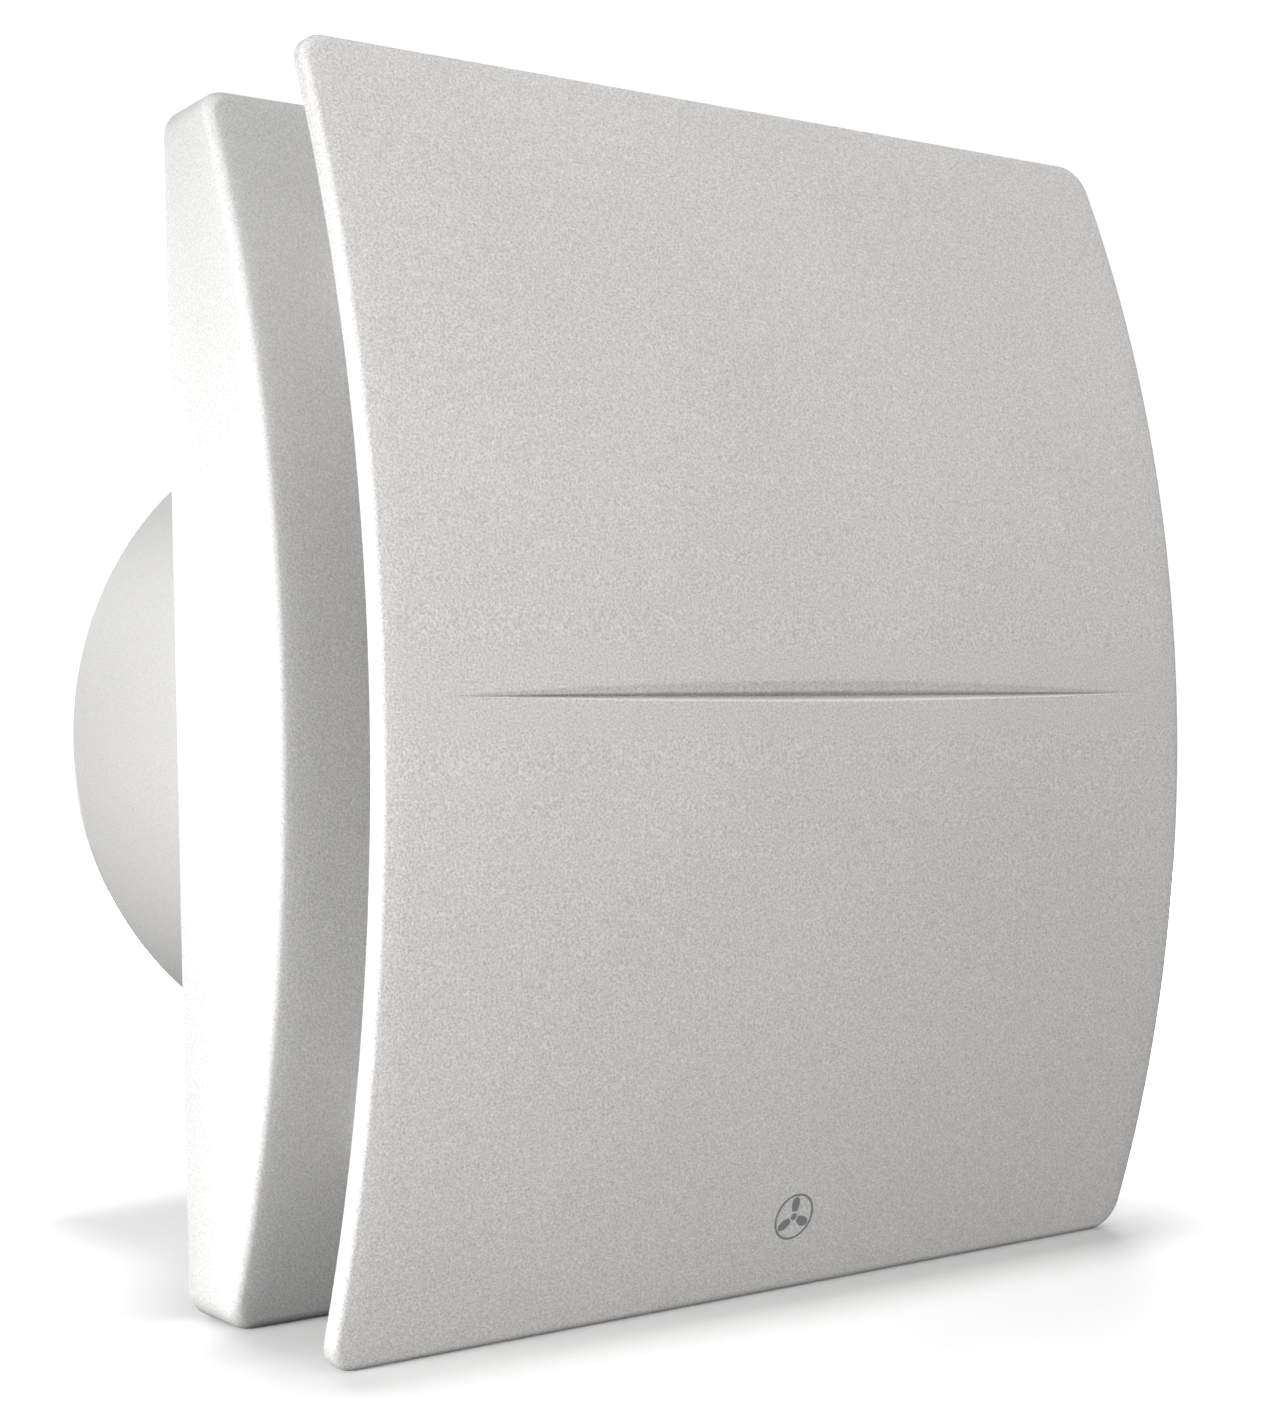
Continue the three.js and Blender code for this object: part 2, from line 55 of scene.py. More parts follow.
MM = 0.001
FLOOR_Z = CAD_BOX[0][2]

# ------------------------------------------------------------------ camera
fx, yaw, pitch, roll = 2341.09, *map(math.radians, (35.385, 1.379, -1.513))
fwd = Vector((math.sin(yaw) * math.cos(pitch), math.cos(yaw) * math.cos(pitch), math.sin(pitch)))
right = Vector((math.cos(yaw), -math.sin(yaw), 0))
up = right.cross(fwd)
r2 = right * math.cos(roll) + up * math.sin(roll)
u2 = -right * math.sin(roll) + up * math.cos(roll)
cam = bpy.data.objects.new("camera", bpy.data.cameras.new("camera"))
bpy.context.scene.collection.objects.link(cam)
cam.data.sensor_width = 36
cam.data.lens = fx * 36 / 1421
cam.data.clip_start = 0.01
m = Matrix((r2, u2, -fwd)).transposed().to_4x4()
m.translation = Vector((-0.219603, -0.322852, -0.007316))
cam.matrix_world = m
bpy.context.scene.camera = cam


# ------------------------------------------------------------------ materials
def nodes_of(mat):
    mat.use_nodes = True
    t = mat.node_tree
    b = next(n for n in t.nodes if n.type == "BSDF_PRINCIPLED")
    return t, b


def plastic(name, color, rough=0.5, grain=0.0, grain_mm=0.38, mottle=0.02, coat=0.0, spec=0.5, bump_mm=0.02, painted_light_attr=None):
    """Moulded plastic: a fine eroded grain, slight unevenness of tone and of gloss."""
    mat = bpy.data.materials.new(name)
    t, b = nodes_of(mat)
    n, l = t.nodes, t.links
    co = n.new("ShaderNodeTexCoord")
    # slow change of tone over the moulding
    slow = n.new("ShaderNodeTexNoise")
    slow.inputs["Scale"].default_value = 22
    slow.inputs["Detail"].default_value = 3
    l.new(co.outputs["Object"], slow.inputs["Vector"])
    fine = n.new("ShaderNodeTexNoise")
    fine.inputs["Scale"].default_value = 1.0 / (grain_mm * MM)
    fine.inputs["Detail"].default_value = 2.5
    fine.inputs["Roughness"].default_value = 0.6
    l.new(co.outputs["Object"], fine.inputs["Vector"])
    mixv = n.new("ShaderNodeMath")
    mixv.operation = "MULTIPLY_ADD"
    slw = n.new("ShaderNodeMath")
    slw.operation = "MULTIPLY"
    slw.inputs[1].default_value = 0.3
    l.new(slow.outputs["Fac"], slw.inputs[0])
    l.new(fine.outputs["Fac"], mixv.inputs[0])
    mixv.inputs[1].default_value = grain
    l.new(slw.outputs[0], mixv.inputs[2])
    ramp = n.new("ShaderNodeMapRange")
    ramp.clamp = False
    ramp.inputs["From Min"].default_value = 0.075 + grain * 0.25
    ramp.inputs["From Max"].default_value = 0.225 + grain * 0.75
    ramp.inputs["To Min"].default_value = 1 - mottle
    ramp.inputs["To Max"].default_value = 1 + mottle
    l.new(mixv.outputs[0], ramp.inputs["Value"])
    col = n.new("ShaderNodeVectorMath")
    col.operation = "SCALE"
    col.inputs[0].default_value = color
    l.new(ramp.outputs["Result"], col.inputs["Scale"])
    if painted_light_attr:
        # painted shade in the hollow of the groove and a painted highlight on the lip under it, added to the tone from
        # a mesh attribute
        at = n.new("ShaderNodeAttribute")
        at.attribute_name = painted_light_attr
        ad = n.new("ShaderNodeMath")
        ad.operation = "ADD"
        l.new(ramp.outputs["Result"], ad.inputs[0])
        l.new(at.outputs["Fac"], ad.inputs[1])
        l.new(ad.outputs[0], col.inputs["Scale"])
    l.new(col.outputs["Vector"], b.inputs["Base Color"])
    rr = n.new("ShaderNodeMapRange")
    rr.inputs["From Min"].default_value = 0.3
    rr.inputs["From Max"].default_value = 0.7
    rr.inputs["To Min"].default_value = rough - 0.05
    rr.inputs["To Max"].default_value = rough + 0.06
    l.new(fine.outputs["Fac"], rr.inputs["Value"])
    l.new(rr.outputs["Result"], b.inputs["Roughness"])
    b.inputs["IOR"].default_value = 1.53
    b.inputs["Specular IOR Level"].default_value = spec
    if coat:
        b.inputs["Coat Weight"].default_value = coat
        b.inputs["Coat Roughness"].default_value = 0.25
    bump = n.new("ShaderNodeBump")
    bump.inputs["Strength"].default_value = 1.0
    bump.inputs["Distance"].default_value = bump_mm * MM
    l.new(fine.outputs["Fac"], bump.inputs["Height"])
    l.new(bump.outputs["Normal"], b.inputs["Normal"])
    return mat


def metal(name, color, rough=0.32, brushed=(1, 1, 1), scale=900, var=0.08, bump_mm=0.004):
    mat = bpy.data.materials.new(name)
    t, b = nodes_of(mat)
    n, l = t.nodes, t.links
    co = n.new("ShaderNodeTexCoord")
    mp = n.new("ShaderNodeMapping")
    mp.inputs["Scale"].default_value = brushed
    l.new(co.outputs["Object"], mp.inputs["Vector"])
    no = n.new("ShaderNodeTexNoise")
    no.inputs["Scale"].default_value = scale
    no.inputs["Detail"].default_value = 3
    l.new(mp.outputs["Vector"], no.inputs["Vector"])
    ra = n.new("ShaderNodeMapRange")
    ra.inputs["From Min"].default_value = 0.3
    ra.inputs["From Max"].default_value = 0.7
    ra.inputs["To Min"].default_value = 1 - var
    ra.inputs["To Max"].default_value = 1 + var
    l.new(no.outputs["Fac"], ra.inputs["Value"])
    col = n.new("ShaderNodeVectorMath")
    col.operation = "SCALE"
    col.inputs[0].default_value = color
    l.new(ra.outputs["Result"], col.inputs["Scale"])
    l.new(col.outputs["Vector"], b.inputs["Base Color"])
    rr = n.new("ShaderNodeMapRange")
    rr.inputs["From Min"].default_value = 0.3
    rr.inputs["From Max"].default_value = 0.7
    rr.inputs["To Min"].default_value = rough - 0.08
    rr.inputs["To Max"].default_value = rough + 0.1
    l.new(no.outputs["Fac"], rr.inputs["Value"])
    l.new(rr.outputs["Result"], b.inputs["Roughness"])
    b.inputs["Metallic"].default_value = 1.0
    bump = n.new("ShaderNodeBump")
    bump.inputs["Distance"].default_value = bump_mm * MM
    l.new(no.outputs["Fac"], bump.inputs["Height"])
    l.new(bump.outputs["Normal"], b.inputs["Normal"])
    return mat


def layered(name, color, pitch_mm=0.5, rough=0.45, metallic=1.0, axis=1):
    """Stacked laminations or a wound coil: fine bands along one axis."""
    mat = bpy.data.materials.new(name)
    t, b = nodes_of(mat)
    n, l = t.nodes, t.links
    co = n.new("ShaderNodeTexCoord")
    wv = n.new("ShaderNodeTexWave")
    wv.wave_type = "BANDS"
    wv.bands_direction = "XYZ"[axis]
    wv.inputs["Scale"].default_value = 1 / (pitch_mm * MM) / 20 * 6.2832 / 2
    wv.inputs["Distortion"].default_value = 0.3
    l.new(co.outputs["Object"], wv.inputs["Vector"])
    ra = n.new("ShaderNodeMapRange")
    ra.inputs["To Min"].default_value = 0.72
    ra.inputs["To Max"].default_value = 1.15
    l.new(wv.outputs["Fac"], ra.inputs["Value"])
    col = n.new("ShaderNodeVectorMath")
    col.operation = "SCALE"
    col.inputs[0].default_value = color
    l.new(ra.outputs["Result"], col.inputs["Scale"])
    l.new(col.outputs["Vector"], b.inputs["Base Color"])
    b.inputs["Metallic"].default_value = metallic
    b.inputs["Roughness"].default_value = rough
    bump = n.new("ShaderNodeBump")
    bump.inputs["Distance"].default_value = 0.06 * MM
    l.new(wv.outputs["Fac"], bump.inputs["Height"])
    l.new(bump.outputs["Normal"], b.inputs["Normal"])
    return mat


M = {
    # the cover's colour carries painted shade and a painted highlight along the groove
    "panel": plastic("abs_panel", (0.803, 0.791, 0.779), 0.5, grain=3.0, grain_mm=0.32, mottle=0.34, bump_mm=0.09, painted_light_attr="groove"),
    "casing": plastic("abs_casing", (0.803, 0.797, 0.79), 0.5, grain=3.0, grain_mm=0.32, mottle=0.24, bump_mm=0.07),
    "base": plastic("abs_base", (0.70, 0.693, 0.683), 0.45, grain=3.0, grain_mm=0.34, mottle=0.16, bump_mm=0.04),
    "inner": plastic("abs_inner", (0.76, 0.76, 0.745), 0.42, grain=0.8, mottle=0.02, bump_mm=0.012),
    "impeller": plastic("pa_impeller", (0.66, 0.67, 0.67), 0.4, grain=1.0, mottle=0.03, bump_mm=0.012),
    "damper": plastic("pp_damper", (0.70, 0.71, 0.71), 0.38, grain=0.8, mottle=0.02, bump_mm=0.01),
    "stud": plastic("pom_stud", (0.74, 0.74, 0.73), 0.3, grain=0.5, mottle=0.015, bump_mm=0.008),
    "rubber": plastic("epdm", (0.022, 0.022, 0.024), 0.72, grain=1.5, grain_mm=0.3, mottle=0.15, bump_mm=0.02, spec=0.35),
    "zinc": metal("zinc_plate", (0.62, 0.64, 0.66), 0.34),
    "ivory": plastic("pa_ivory", (0.66, 0.62, 0.52), 0.38, grain=0.8, mottle=0.02, bump_mm=0.012),
    "brass": metal("brass_turned", (0.72, 0.52, 0.24), 0.3),
    "steel": metal("steel_ground", (0.56, 0.57, 0.59), 0.26, brushed=(1, 0.15, 1)),
    "steel_v": metal("steel_ground_upright", (0.56, 0.57, 0.59), 0.26, brushed=(1, 1, 0.15)),
    "spring": metal("spring_wire", (0.45, 0.46, 0.48), 0.3, scale=1500),
    "lam": layered("laminations", (0.17, 0.17, 0.18), 0.5, 0.5, 0.8),
    "copper": layered("winding", (0.50, 0.20, 0.08), 0.4, 0.38, 0.75),
    "brown": plastic("pvc_brown", (0.13, 0.05, 0.025), 0.38, grain=0.6, mottle=0.04, bump_mm=0.008),
    "blue": plastic("pvc_blue", (0.03, 0.13, 0.38), 0.38, grain=0.6, mottle=0.04, bump_mm=0.008),
    "mark": plastic("pad_print", (0.30, 0.30, 0.30), 0.45, grain=0.6, mottle=0.05, bump_mm=0.01),
}


# ------------------------------------------------------------------ mesh tools
class Build:
    """Gathers vertices in millimetres and faces, then makes one object."""

    def __init__(self):
        self.v, self.f = [], []
        self.extra, self.cuts = [], []

    def fuse(self, other, matrix=None):
        """A further closed shell, joined to this one as one solid."""
        self.extra.append(Build().add(other, matrix))
        return self

    def cut(self, other, matrix=None):
        self.cuts.append(Build().add(other, matrix))
        return self

    def rings(self, rings, closed_path=False, wrap=True):
        """Quads between successive rings of equal length."""
        idx = []
        for r in rings:
            idx.append(list(range(len(self.v), len(self.v) + len(r))))
            self.v.extend([tuple(map(float, p)) for p in r])
        pairs = list(zip(idx, idx[1:]))
        if closed_path:
            pairs.append((idx[-1], idx[0]))
        for a, b in pairs:
            n = len(a)
            for i in range(n if wrap else n - 1):
                j = (i + 1) % n
                self.f.append((a[i], a[j], b[j], b[i]))
        return idx

    def add(self, other, matrix=None):
        k = len(self.v)
        for p in other.v:
            self.v.append(tuple(matrix @ Vector(p)) if matrix is not None else p)
        self.f.extend([tuple(i + k for i in f) for f in other.f])
        return self

    def object(self, name, mat, body, slot, nodes=(), sharp=35, weighted=False, merge=1e-3):
        bm = bmesh.new()
        vs = [bm.verts.new((x * MM, y * MM, z * MM)) for x, y, z in self.v]
        for f in self.f:
            g = []
            for i in f:
                if not g or vs[i] is not g[-1]:
                    g.append(vs[i])
            if len(set(g)) >= 3:
                try:
                    bm.faces.new(g)
                except ValueError:
                    pass
        bmesh.ops.remove_doubles(bm, verts=bm.verts, dist=merge * MM)
        bmesh.ops.dissolve_degenerate(bm, edges=bm.edges, dist=1e-7)
        bmesh.ops.recalc_face_normals(bm, faces=bm.faces)
        loose = [v for v in bm.verts if not v.link_faces]
        bmesh.ops.delete(bm, geom=loose, context="VERTS")
        me = bpy.data.meshes.new(name)
        bm.to_mesh(me)
        bm.free()
        o = bpy.data.objects.new(name, me)
        bpy.context.scene.collection.objects.link(o)
        if body is None:
            return o
        for op, other in [("UNION", q) for q in self.extra] + [("DIFFERENCE", q) for q in self.cuts]:
            join(o, other, op)
        me = o.data
        for p in me.polygons:
            p.use_smooth = True
        me.set_sharp_from_angle(angle=math.radians(sharp))
        me.materials.clear()
        me.materials.append(mat)
        if weighted:
            w = o.modifiers.new("normals", "WEIGHTED_NORMAL")
            w.keep_sharp = True
            w.weight = 60
        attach(o, body)
        if nodes:
            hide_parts(*nodes)
        return o


def join(o, build, op):
    """Joins a closed shell to an object, or cuts it away, and keeps one clean mesh."""
    q = build.object("operand", None, None, None)
    md = o.modifiers.new("b", "BOOLEAN")
    md.operation, md.solver, md.object = op, "MANIFOLD", q
    dg = bpy.context.evaluated_depsgraph_get()
    me = bpy.data.meshes.new_from_object(o.evaluated_get(dg), depsgraph=dg)
    o.modifiers.clear()
    o.data = me
    old = q.data
    bpy.data.objects.remove(q, do_unlink=True)
    bpy.data.meshes.remove(old)


def fillet(points, n=5, closed=True):
    """(u, v, r) corners to a polyline, each corner rounded to its radius."""
    out = []
    N = len(points)
    for i, p in enumerate(points):
        u, v = p[0], p[1]
        r = p[2] if len(p) > 2 else 0
        if r <= 0 or (not closed and i in (0, N - 1)):
            out.append((u, v))
            continue
        a, c, b = Vector(points[i - 1][:2]), Vector((u, v)), Vector(points[(i + 1) % N][:2])
        d1, d2 = (a - c), (b - c)
        l1, l2 = d1.length, d2.length
        d1.normalize()
        d2.normalize()
        ang = d1.angle(d2)
        if ang > math.pi - 1e-3 or ang < 1e-3:
            out.append((u, v))
            continue
        t = r / math.tan(ang / 2)
        t = min(t, l1 * 0.499, l2 * 0.499)
        rr = t * math.tan(ang / 2)
        o = c + (d1 + d2).normalized() * (rr / math.sin(ang / 2))
        s, e = c + d1 * t - o, c + d2 * t - o
        a0 = math.atan2(s.y, s.x)
        da = (math.atan2(e.y, e.x) - a0 + math.pi) % (2 * math.pi) - math.pi
        for k in range(n + 1):
            q = a0 + da * k / n
            out.append((o.x + rr * math.cos(q), o.y + rr * math.sin(q)))
    return out


def lathe(points, seg=96, n=5, b=None):
    """A profile of (r, y, fillet) turned about Y. Closed unless it starts and ends on the axis."""
    b = b or Build()
    open_ = points[0][0] <= 0 and points[-1][0] <= 0
    prof = fillet(points, n, closed=not open_)
    ring = []
    for i in range(seg):
        a = 2 * math.pi * i / seg
        ring.append((math.cos(a), math.sin(a)))
    rings = []
    for r, y in prof:
        rings.append([(r * c, y, r * s) for c, s in ring])
    b.rings(rings, closed_path=not open_)
    return b


def rect(w, h, r, cx=0, cz=0, step=4, n=9):
    """Rounded rectangle, counter-clockwise in X and Z."""
    pts = []
    x, z = w / 2, h / 2

    def side(p, q):
        k = max(1, int(round(math.dist(p, q) / step)))
        for i in range(1, k):
            pts.append((p[0] + (q[0] - p[0]) * i / k, p[1] + (q[1] - p[1]) * i / k))

    corners = [(x - r, -z + r, -90), (x - r, z - r, 0), (-x + r, z - r, 90), (-x + r, -z + r, 180)]
    for k, (ox, oz, a0) in enumerate(corners):
        for i in range(n + 1):
            a = math.radians(a0 + 90 * i / n)
            pts.append((ox + r * math.cos(a), oz + r * math.sin(a)))
        nx = corners[(k + 1) % 4]
        a = math.radians(nx[2])
        side(pts[-1], (nx[0] + r * math.cos(a), nx[1] + r * math.sin(a)))
    return [(px + cx, pz + cz) for px, pz in pts]


def circle(r, cx=0, cz=0, n=64, cw=False):
    p = [(cx + r * math.cos(2 * math.pi * i / n), cz + r * math.sin(2 * math.pi * i / n)) for i in range(n)]
    return p[::-1] if cw else p


def offset(loop, d):
    p = np.asarray(loop, float)
    t1 = p - np.roll(p, 1, 0)
    t2 = np.roll(p, -1, 0) - p
    t1 /= np.linalg.norm(t1, axis=1)[:, None]
    t2 /= np.linalg.norm(t2, axis=1)[:, None]
    n1 = np.stack([-t1[:, 1], t1[:, 0]], 1)
    n2 = np.stack([-t2[:, 1], t2[:, 0]], 1)
    dot = (n1 * n2).sum(1)
    return p + d * (n1 + n2) / (1 + dot)[:, None]


def inside(poly, pts):
    """Which points lie in the closed polygon."""
    poly = np.asarray(poly)
    x, y = pts[:, 0], pts[:, 1]
    res = np.zeros(len(pts), bool)
    a, b = poly, np.roll(poly, -1, 0)
    for (x0, y0), (x1, y1) in zip(a, b):
        if y0 == y1:
            continue
        c = (y0 > y) != (y1 > y)
        res ^= c & (x < (x1 - x0) * (y - y0) / (y1 - y0) + x0)
    return res


def cap(b, loops, surface, step, lines=(), clear=0.45):
    """Fills between loops of existing vertices: loops is [(xz, indices)], the first the outer one."""
    co, idx, edges = [], [], []
    for xz, ids in loops:
        k = len(co)
        co.extend([tuple(p) for p in xz])
        idx.extend(ids)
        n = len(xz)
        edges.extend([(k + i, k + (i + 1) % n) for i in range(n)])
    fixed = np.asarray(co)
    new = []
    for ln in lines:
        k = len(co)
        for q in ln:
            co.append(tuple(q))
            new.append(tuple(q))
            idx.append(None)
        edges.extend([(k + i, k + i + 1) for i in range(len(ln) - 1)])
    if step:
        lo, hi = fixed.min(0), fixed.max(0)
        nx, nz = [max(2, int(math.ceil((hi[i] - lo[i]) / step))) for i in (0, 1)]
        gx, gz = np.meshgrid(np.linspace(lo[0], hi[0], nx + 1), np.linspace(lo[1], hi[1], nz + 1))
        g = np.stack([gx.ravel(), gz.ravel()], 1)
        keep = inside(loops[0][0], g)
        for xz, _ in loops[1:]:
            keep &= ~inside(xz, g)
        g = g[keep]
        allp = np.asarray(co)
        ea, eb = allp[[e[0] for e in edges]], allp[[e[1] for e in edges]]
        allp = np.concatenate([allp] + [ea + (eb - ea) * k for k in (0.25, 0.5, 0.75)])
        ok = np.ones(len(g), bool)
        for s in range(0, len(allp), 400):
            d = np.linalg.norm(g[:, None] - allp[None, s : s + 400], axis=2).min(1)
            ok &= d > step * clear
        for q in g[ok]:
            co.append(tuple(q))
            idx.append(None)
    vo, eo, fo, orig, _, _ = delaunay_2d_cdt([Vector(c) for c in co], edges, [], 0, 1e-5, True)
    ids = []
    for q, src in zip(vo, orig):
        known = [idx[s] for s in src if idx[s] is not None]
        if known:
            ids.append(known[0])
        else:
            ids.append(len(b.v))
            b.v.append((q.x, surface(q.x, q.y), q.y))
    cen = np.array([[(vo[f[0]].x + vo[f[1]].x + vo[f[2]].x) / 3, (vo[f[0]].y + vo[f[1]].y + vo[f[2]].y) / 3] for f in fo])
    keep = inside(loops[0][0], cen)
    for xz, _ in loops[1:]:
        keep &= ~inside(xz, cen)
    for f, k in zip(fo, keep):
        if k:
            b.f.append(tuple(ids[i] for i in f))


def skin(loops, front, rear, step=0, step_rear=None, pockets=(), lines=(), b=None):
    """A closed solid between two surfaces y(x, z). loops: [(xz loop, path)], the outer one first and
    counter-clockwise, holes clockwise. A path runs from the front surface to the rear one as (inset, y)."""
    b = b or Build()
    heads, tails = [], []
    for pts, path in loops:
        rings, flat = [], []
        for inset, y in path:
            q = offset(pts, inset) if inset else np.asarray(pts, float)
            flat.append(q)
            rings.append([(x, y(x, z) if callable(y) else y, z) for x, z in q])
        ids = b.rings(rings)
        heads.append((flat[0], ids[0]))
        tails.append((flat[-1], ids[-1]))
    for pts, path in pockets:
        rings, flat = [], []
        for inset, y in path:
            q = offset(pts, inset) if inset else np.asarray(pts, float)
            flat.append(q)
            rings.append([(x, y(x, z) if callable(y) else y, z) for x, z in q])
        ids = b.rings(rings)
        heads.append((flat[0], ids[0]))
        yb = path[-1][1]
        cap(b, [(flat[-1][::-1], ids[-1][::-1])], (lambda x, z: yb), 0)
    f = front if callable(front) else (lambda x, z: front)
    g = rear if callable(rear) else (lambda x, z: rear)
    cap(b, heads, f, step, lines)
    cap(b, tails, g, step if step_rear is None else step_rear)
    return b


def edge_in(r, surf, n=5):
    """Front edge rounding, from the face to the wall."""
    out = []
    for k in range(n, -1, -1):
        a = math.pi / 2 * k / n
        d, h = r * (1 - math.cos(a)), r * (1 - math.sin(a))
        out.append((d, (lambda x, z, h=h: surf(x, z) + h) if callable(surf) else surf + h))
    return out


def edge_out(r, surf, n=5, at=0.0):
    """Rear edge rounding, from the wall to the face."""
    out = []
    for k in range(0, n + 1):
        a = math.pi / 2 * k / n
        d, h = r * (1 - math.cos(a)), r * (1 - math.sin(a))
        out.append((at + d, (lambda x, z, h=h: surf(x, z) - h) if callable(surf) else surf - h))
    return out


def rod_z(r, z0, z1, cx=0, cy=0, seg=48, chamfer=0.3, hole=0):
    pts = (
        [(0, z0), (r, z0, chamfer), (r, z1, chamfer), (0, z1)]
        if not hole
        else [(hole, z0, chamfer), (r, z0, chamfer), (r, z1, chamfer), (hole, z1, chamfer)]
    )
    b = lathe(pts, seg, 4)
    out = Build()
    out.add(b, Matrix.Translation((cx, cy, 0)) @ Matrix(((1, 0, 0, 0), (0, 0, -1, 0), (0, 1, 0, 0), (0, 0, 0, 1))))
    return out


def box(x0, x1, y0, y1, z0, z1, r=0.3, n=3):
    """A block with rounded edges."""
    return skin(
        [(rect(x1 - x0, z1 - z0, r * 1.4, (x0 + x1) / 2, (z0 + z1) / 2, 50, n), edge_in(r, y0, n) + edge_out(r, y1, n))],
        y0,
        y1,
    )


def turn(deg):
    """Turn about Y so that +X points to the angle deg in X and Z."""
    return Matrix.Rotation(-math.radians(deg), 4, "Y")


# ------------------------------------------------------------------ shapes shared with the frame (mm)
W, H, CR, ZM = 149.0, 180.0, 4.5, 3.0


def bow(dz, sag):
    R = (H * H / 4 + sag * sag) / (2 * sag)
    return math.sqrt(max(R * R - dz * dz, 0)) - (R - sag)


case_f = lambda x, z: -(12.8 + bow(z - ZM, 19.8))
case_i = lambda x, z: case_f(x, z) + 2.2
panel_r = lambda x, z: -(40.1 + bow(z - ZM, 18.4))

# the groove across the cover: a long lens, its crease straight, the upper flank wide, the lower one narrow
G_HALF, G_UP, G_LOW, G_Z = 65.1, 2.05, 0.95, 2.5
# depth against the height over the crease, both at mid-width
G_PROF = [(-0.95, 0.0), (-0.86, 0.05), (-0.75, 0.18), (-0.2, 1.35), (-0.08, 1.8), (0.0, 1.95), (0.1, 1.85), (0.45, 1.05), (0.6, 0.86), (1.6, 0.22), (1.85, 0.08), (2.05, 0.0)]


def lens(x):
    u = abs(x) / G_HALF
    return max(0.0, 1 - u**1.9)


def groove(x, z):
    h = lens(x)
    if h <= 1e-4:
        return 0.0
    t = (z - G_Z) / h
    return float(np.interp(t, [q[0] for q in G_PROF], [q[1] for q in G_PROF])) * h**0.75


def groove_painted_light(x, z):
    """Painted shade darker in the hollow, a painted highlight lighter on the lip below it."""
    h = lens(x)
    if h <= 1e-4:
        return 0.0
    t = (z - G_Z) / h
    k = min(1.0, h * 6)
    return k * float(np.interp(t, [-1.2, -0.95, -0.75, -0.3, -0.08, 0.0, 0.2, 0.5, 0.7, 1.6, 2.05], [0, 0.2, 0.26, 0.22, -0.35, -0.4, -0.35, -0.15, -0.1, -0.06, 0]))


panel_f = lambda x, z: -(43.4 + bow(z - ZM, 18.4)) + groove(x, z)

# ------------------------------------------------------------------ cover panel
glines = []
xs = [G_HALF * math.sin(math.pi / 2 * i / 44) for i in range(-44, 45)]
for t in (2.3, 2.05, 1.85, 1.6, 1.1, 0.7, 0.6, 0.45, 0.25, 0.1, 0.0, -0.08, -0.2, -0.45, -0.75, -0.86, -0.95, -1.2):
    ln = []
    for x in xs:
        h = lens(x)
        if h * max(abs(t), 0.12) < 0.05:
            continue
        ln.append((x, G_Z + t * h))
    if t == 0.0:
        ln = [(-G_HALF, G_Z)] + ln + [(G_HALF, G_Z)]
    glines.append(ln)
outline = rect(W, H, CR, 0, ZM, 3.0, 9)
b = skin(
    [(outline, edge_in(1.15, lambda x, z: -(43.4 + bow(z - ZM, 18.4)), 6) + edge_out(1.0, panel_r, 5))],
    panel_f,
    panel_r,
    step=3.2,
    step_rear=6,
    lines=glines,
)
STUDS = [
    ("upper_left", -50, 63),
    ("upper_right", 50, 63),
    ("lower_left", -50, -57),
    ("lower_right", 50, -57),
]
for _, x, z in STUDS:
    b.fuse(lathe([(0, -51.5), (7.2, -51.5), (6.6, -50, 1), (6.0, -48.6, 1.2), (6.0, -46, 0.5), (0, -46)], 64, 4), Matrix.Translation((x, 0, z)))
panel = b.object("cover_panel", M["panel"], "panel", "front_panel", ["front_panel"], sharp=50)
# painted shade and a painted highlight along the groove, stored per vertex for the cover's colour
tone = panel.data.attributes.new("groove", "FLOAT", "POINT")
for i, v in enumerate(panel.data.vertices):
    x, y, z = v.co / MM
    tone.data[i].value = groove_painted_light(x, z) if y < -(42.5 + bow(z - ZM, 18.4)) + 2.2 and abs(z - G_Z) < 3 else 0.0

# a plain pad-printed symbol low on the cover: a small three-bladed fan in a ring, no lettering
mark = Build()
MX, MZ, MR = 1.6, -75.2, 3.6


def raised(loop_out, holes=()):
    f = lambda x, z: -(43.4 + bow(z - ZM, 18.4)) - 0.07
    r_ = lambda x, z: -(43.4 + bow(z - ZM, 18.4)) + 0.2
    return skin([(loop_out, [(0.0, f), (0.0, r_)])] + [(h_, [(0.0, f), (0.0, r_)]) for h_ in holes], f, r_, step=1.2)


mark.add(raised(circle(MR, MX, MZ, 64), [circle(MR - 0.34, MX, MZ, 64, cw=True)]))
mark.add(raised(circle(0.55, MX, MZ, 24)))
for k in range(3):
    a0 = math.radians(90 + 120 * k)
    leaf = []
    for i in range(25):
        t = i / 24
        r = 0.85 + (MR - 1.35) * math.sin(math.pi * t) ** 0.6 if 0 < t < 1 else 0.85
        a = a0 - 0.42 + 0.95 * t
        leaf.append((MX + r * math.cos(a), MZ + r * math.sin(a)))
    for i in range(1, 8):
        a = a0 + 0.53 - 0.95 * i / 8
        leaf.append((MX + 0.85 * math.cos(a), MZ + 0.85 * math.sin(a)))
    mark.add(raised(leaf))
mark.object("fan_symbol", M["mark"], "panel", "front_panel", sharp=60)

for tag, x, z in STUDS:
    t = Matrix.Translation((x, 0, z))
    Build().add(
        lathe(
            [(0, -45.7), (5, -45.7, 0.4), (5, -44, 0.6), (2.9, -42.5, 0.8), (2.9, -20, 0.5), (3.05, -18.5, 0.8), (2.9, -17, 0.5), (1.6, -14, 0.6), (0, -14)],
            48,
            4,
        ),
        t,
    ).object("stud_" + tag, M["stud"], "panel", "stud", ["panel_stud_" + tag])
    Build().add(
        lathe([(3.4, -27.3, 0.3), (6.2, -27.3, 0.45), (6.2, -26.3, 0.2), (4.35, -26.3, 0.1), (4.35, -12.2, 0.3), (3.4, -12.2, 0.3)], 48, 4),
        t,
    ).object("bush_" + tag, M["rubber"], "housing", "rubber", ["stud_bush_" + tag])

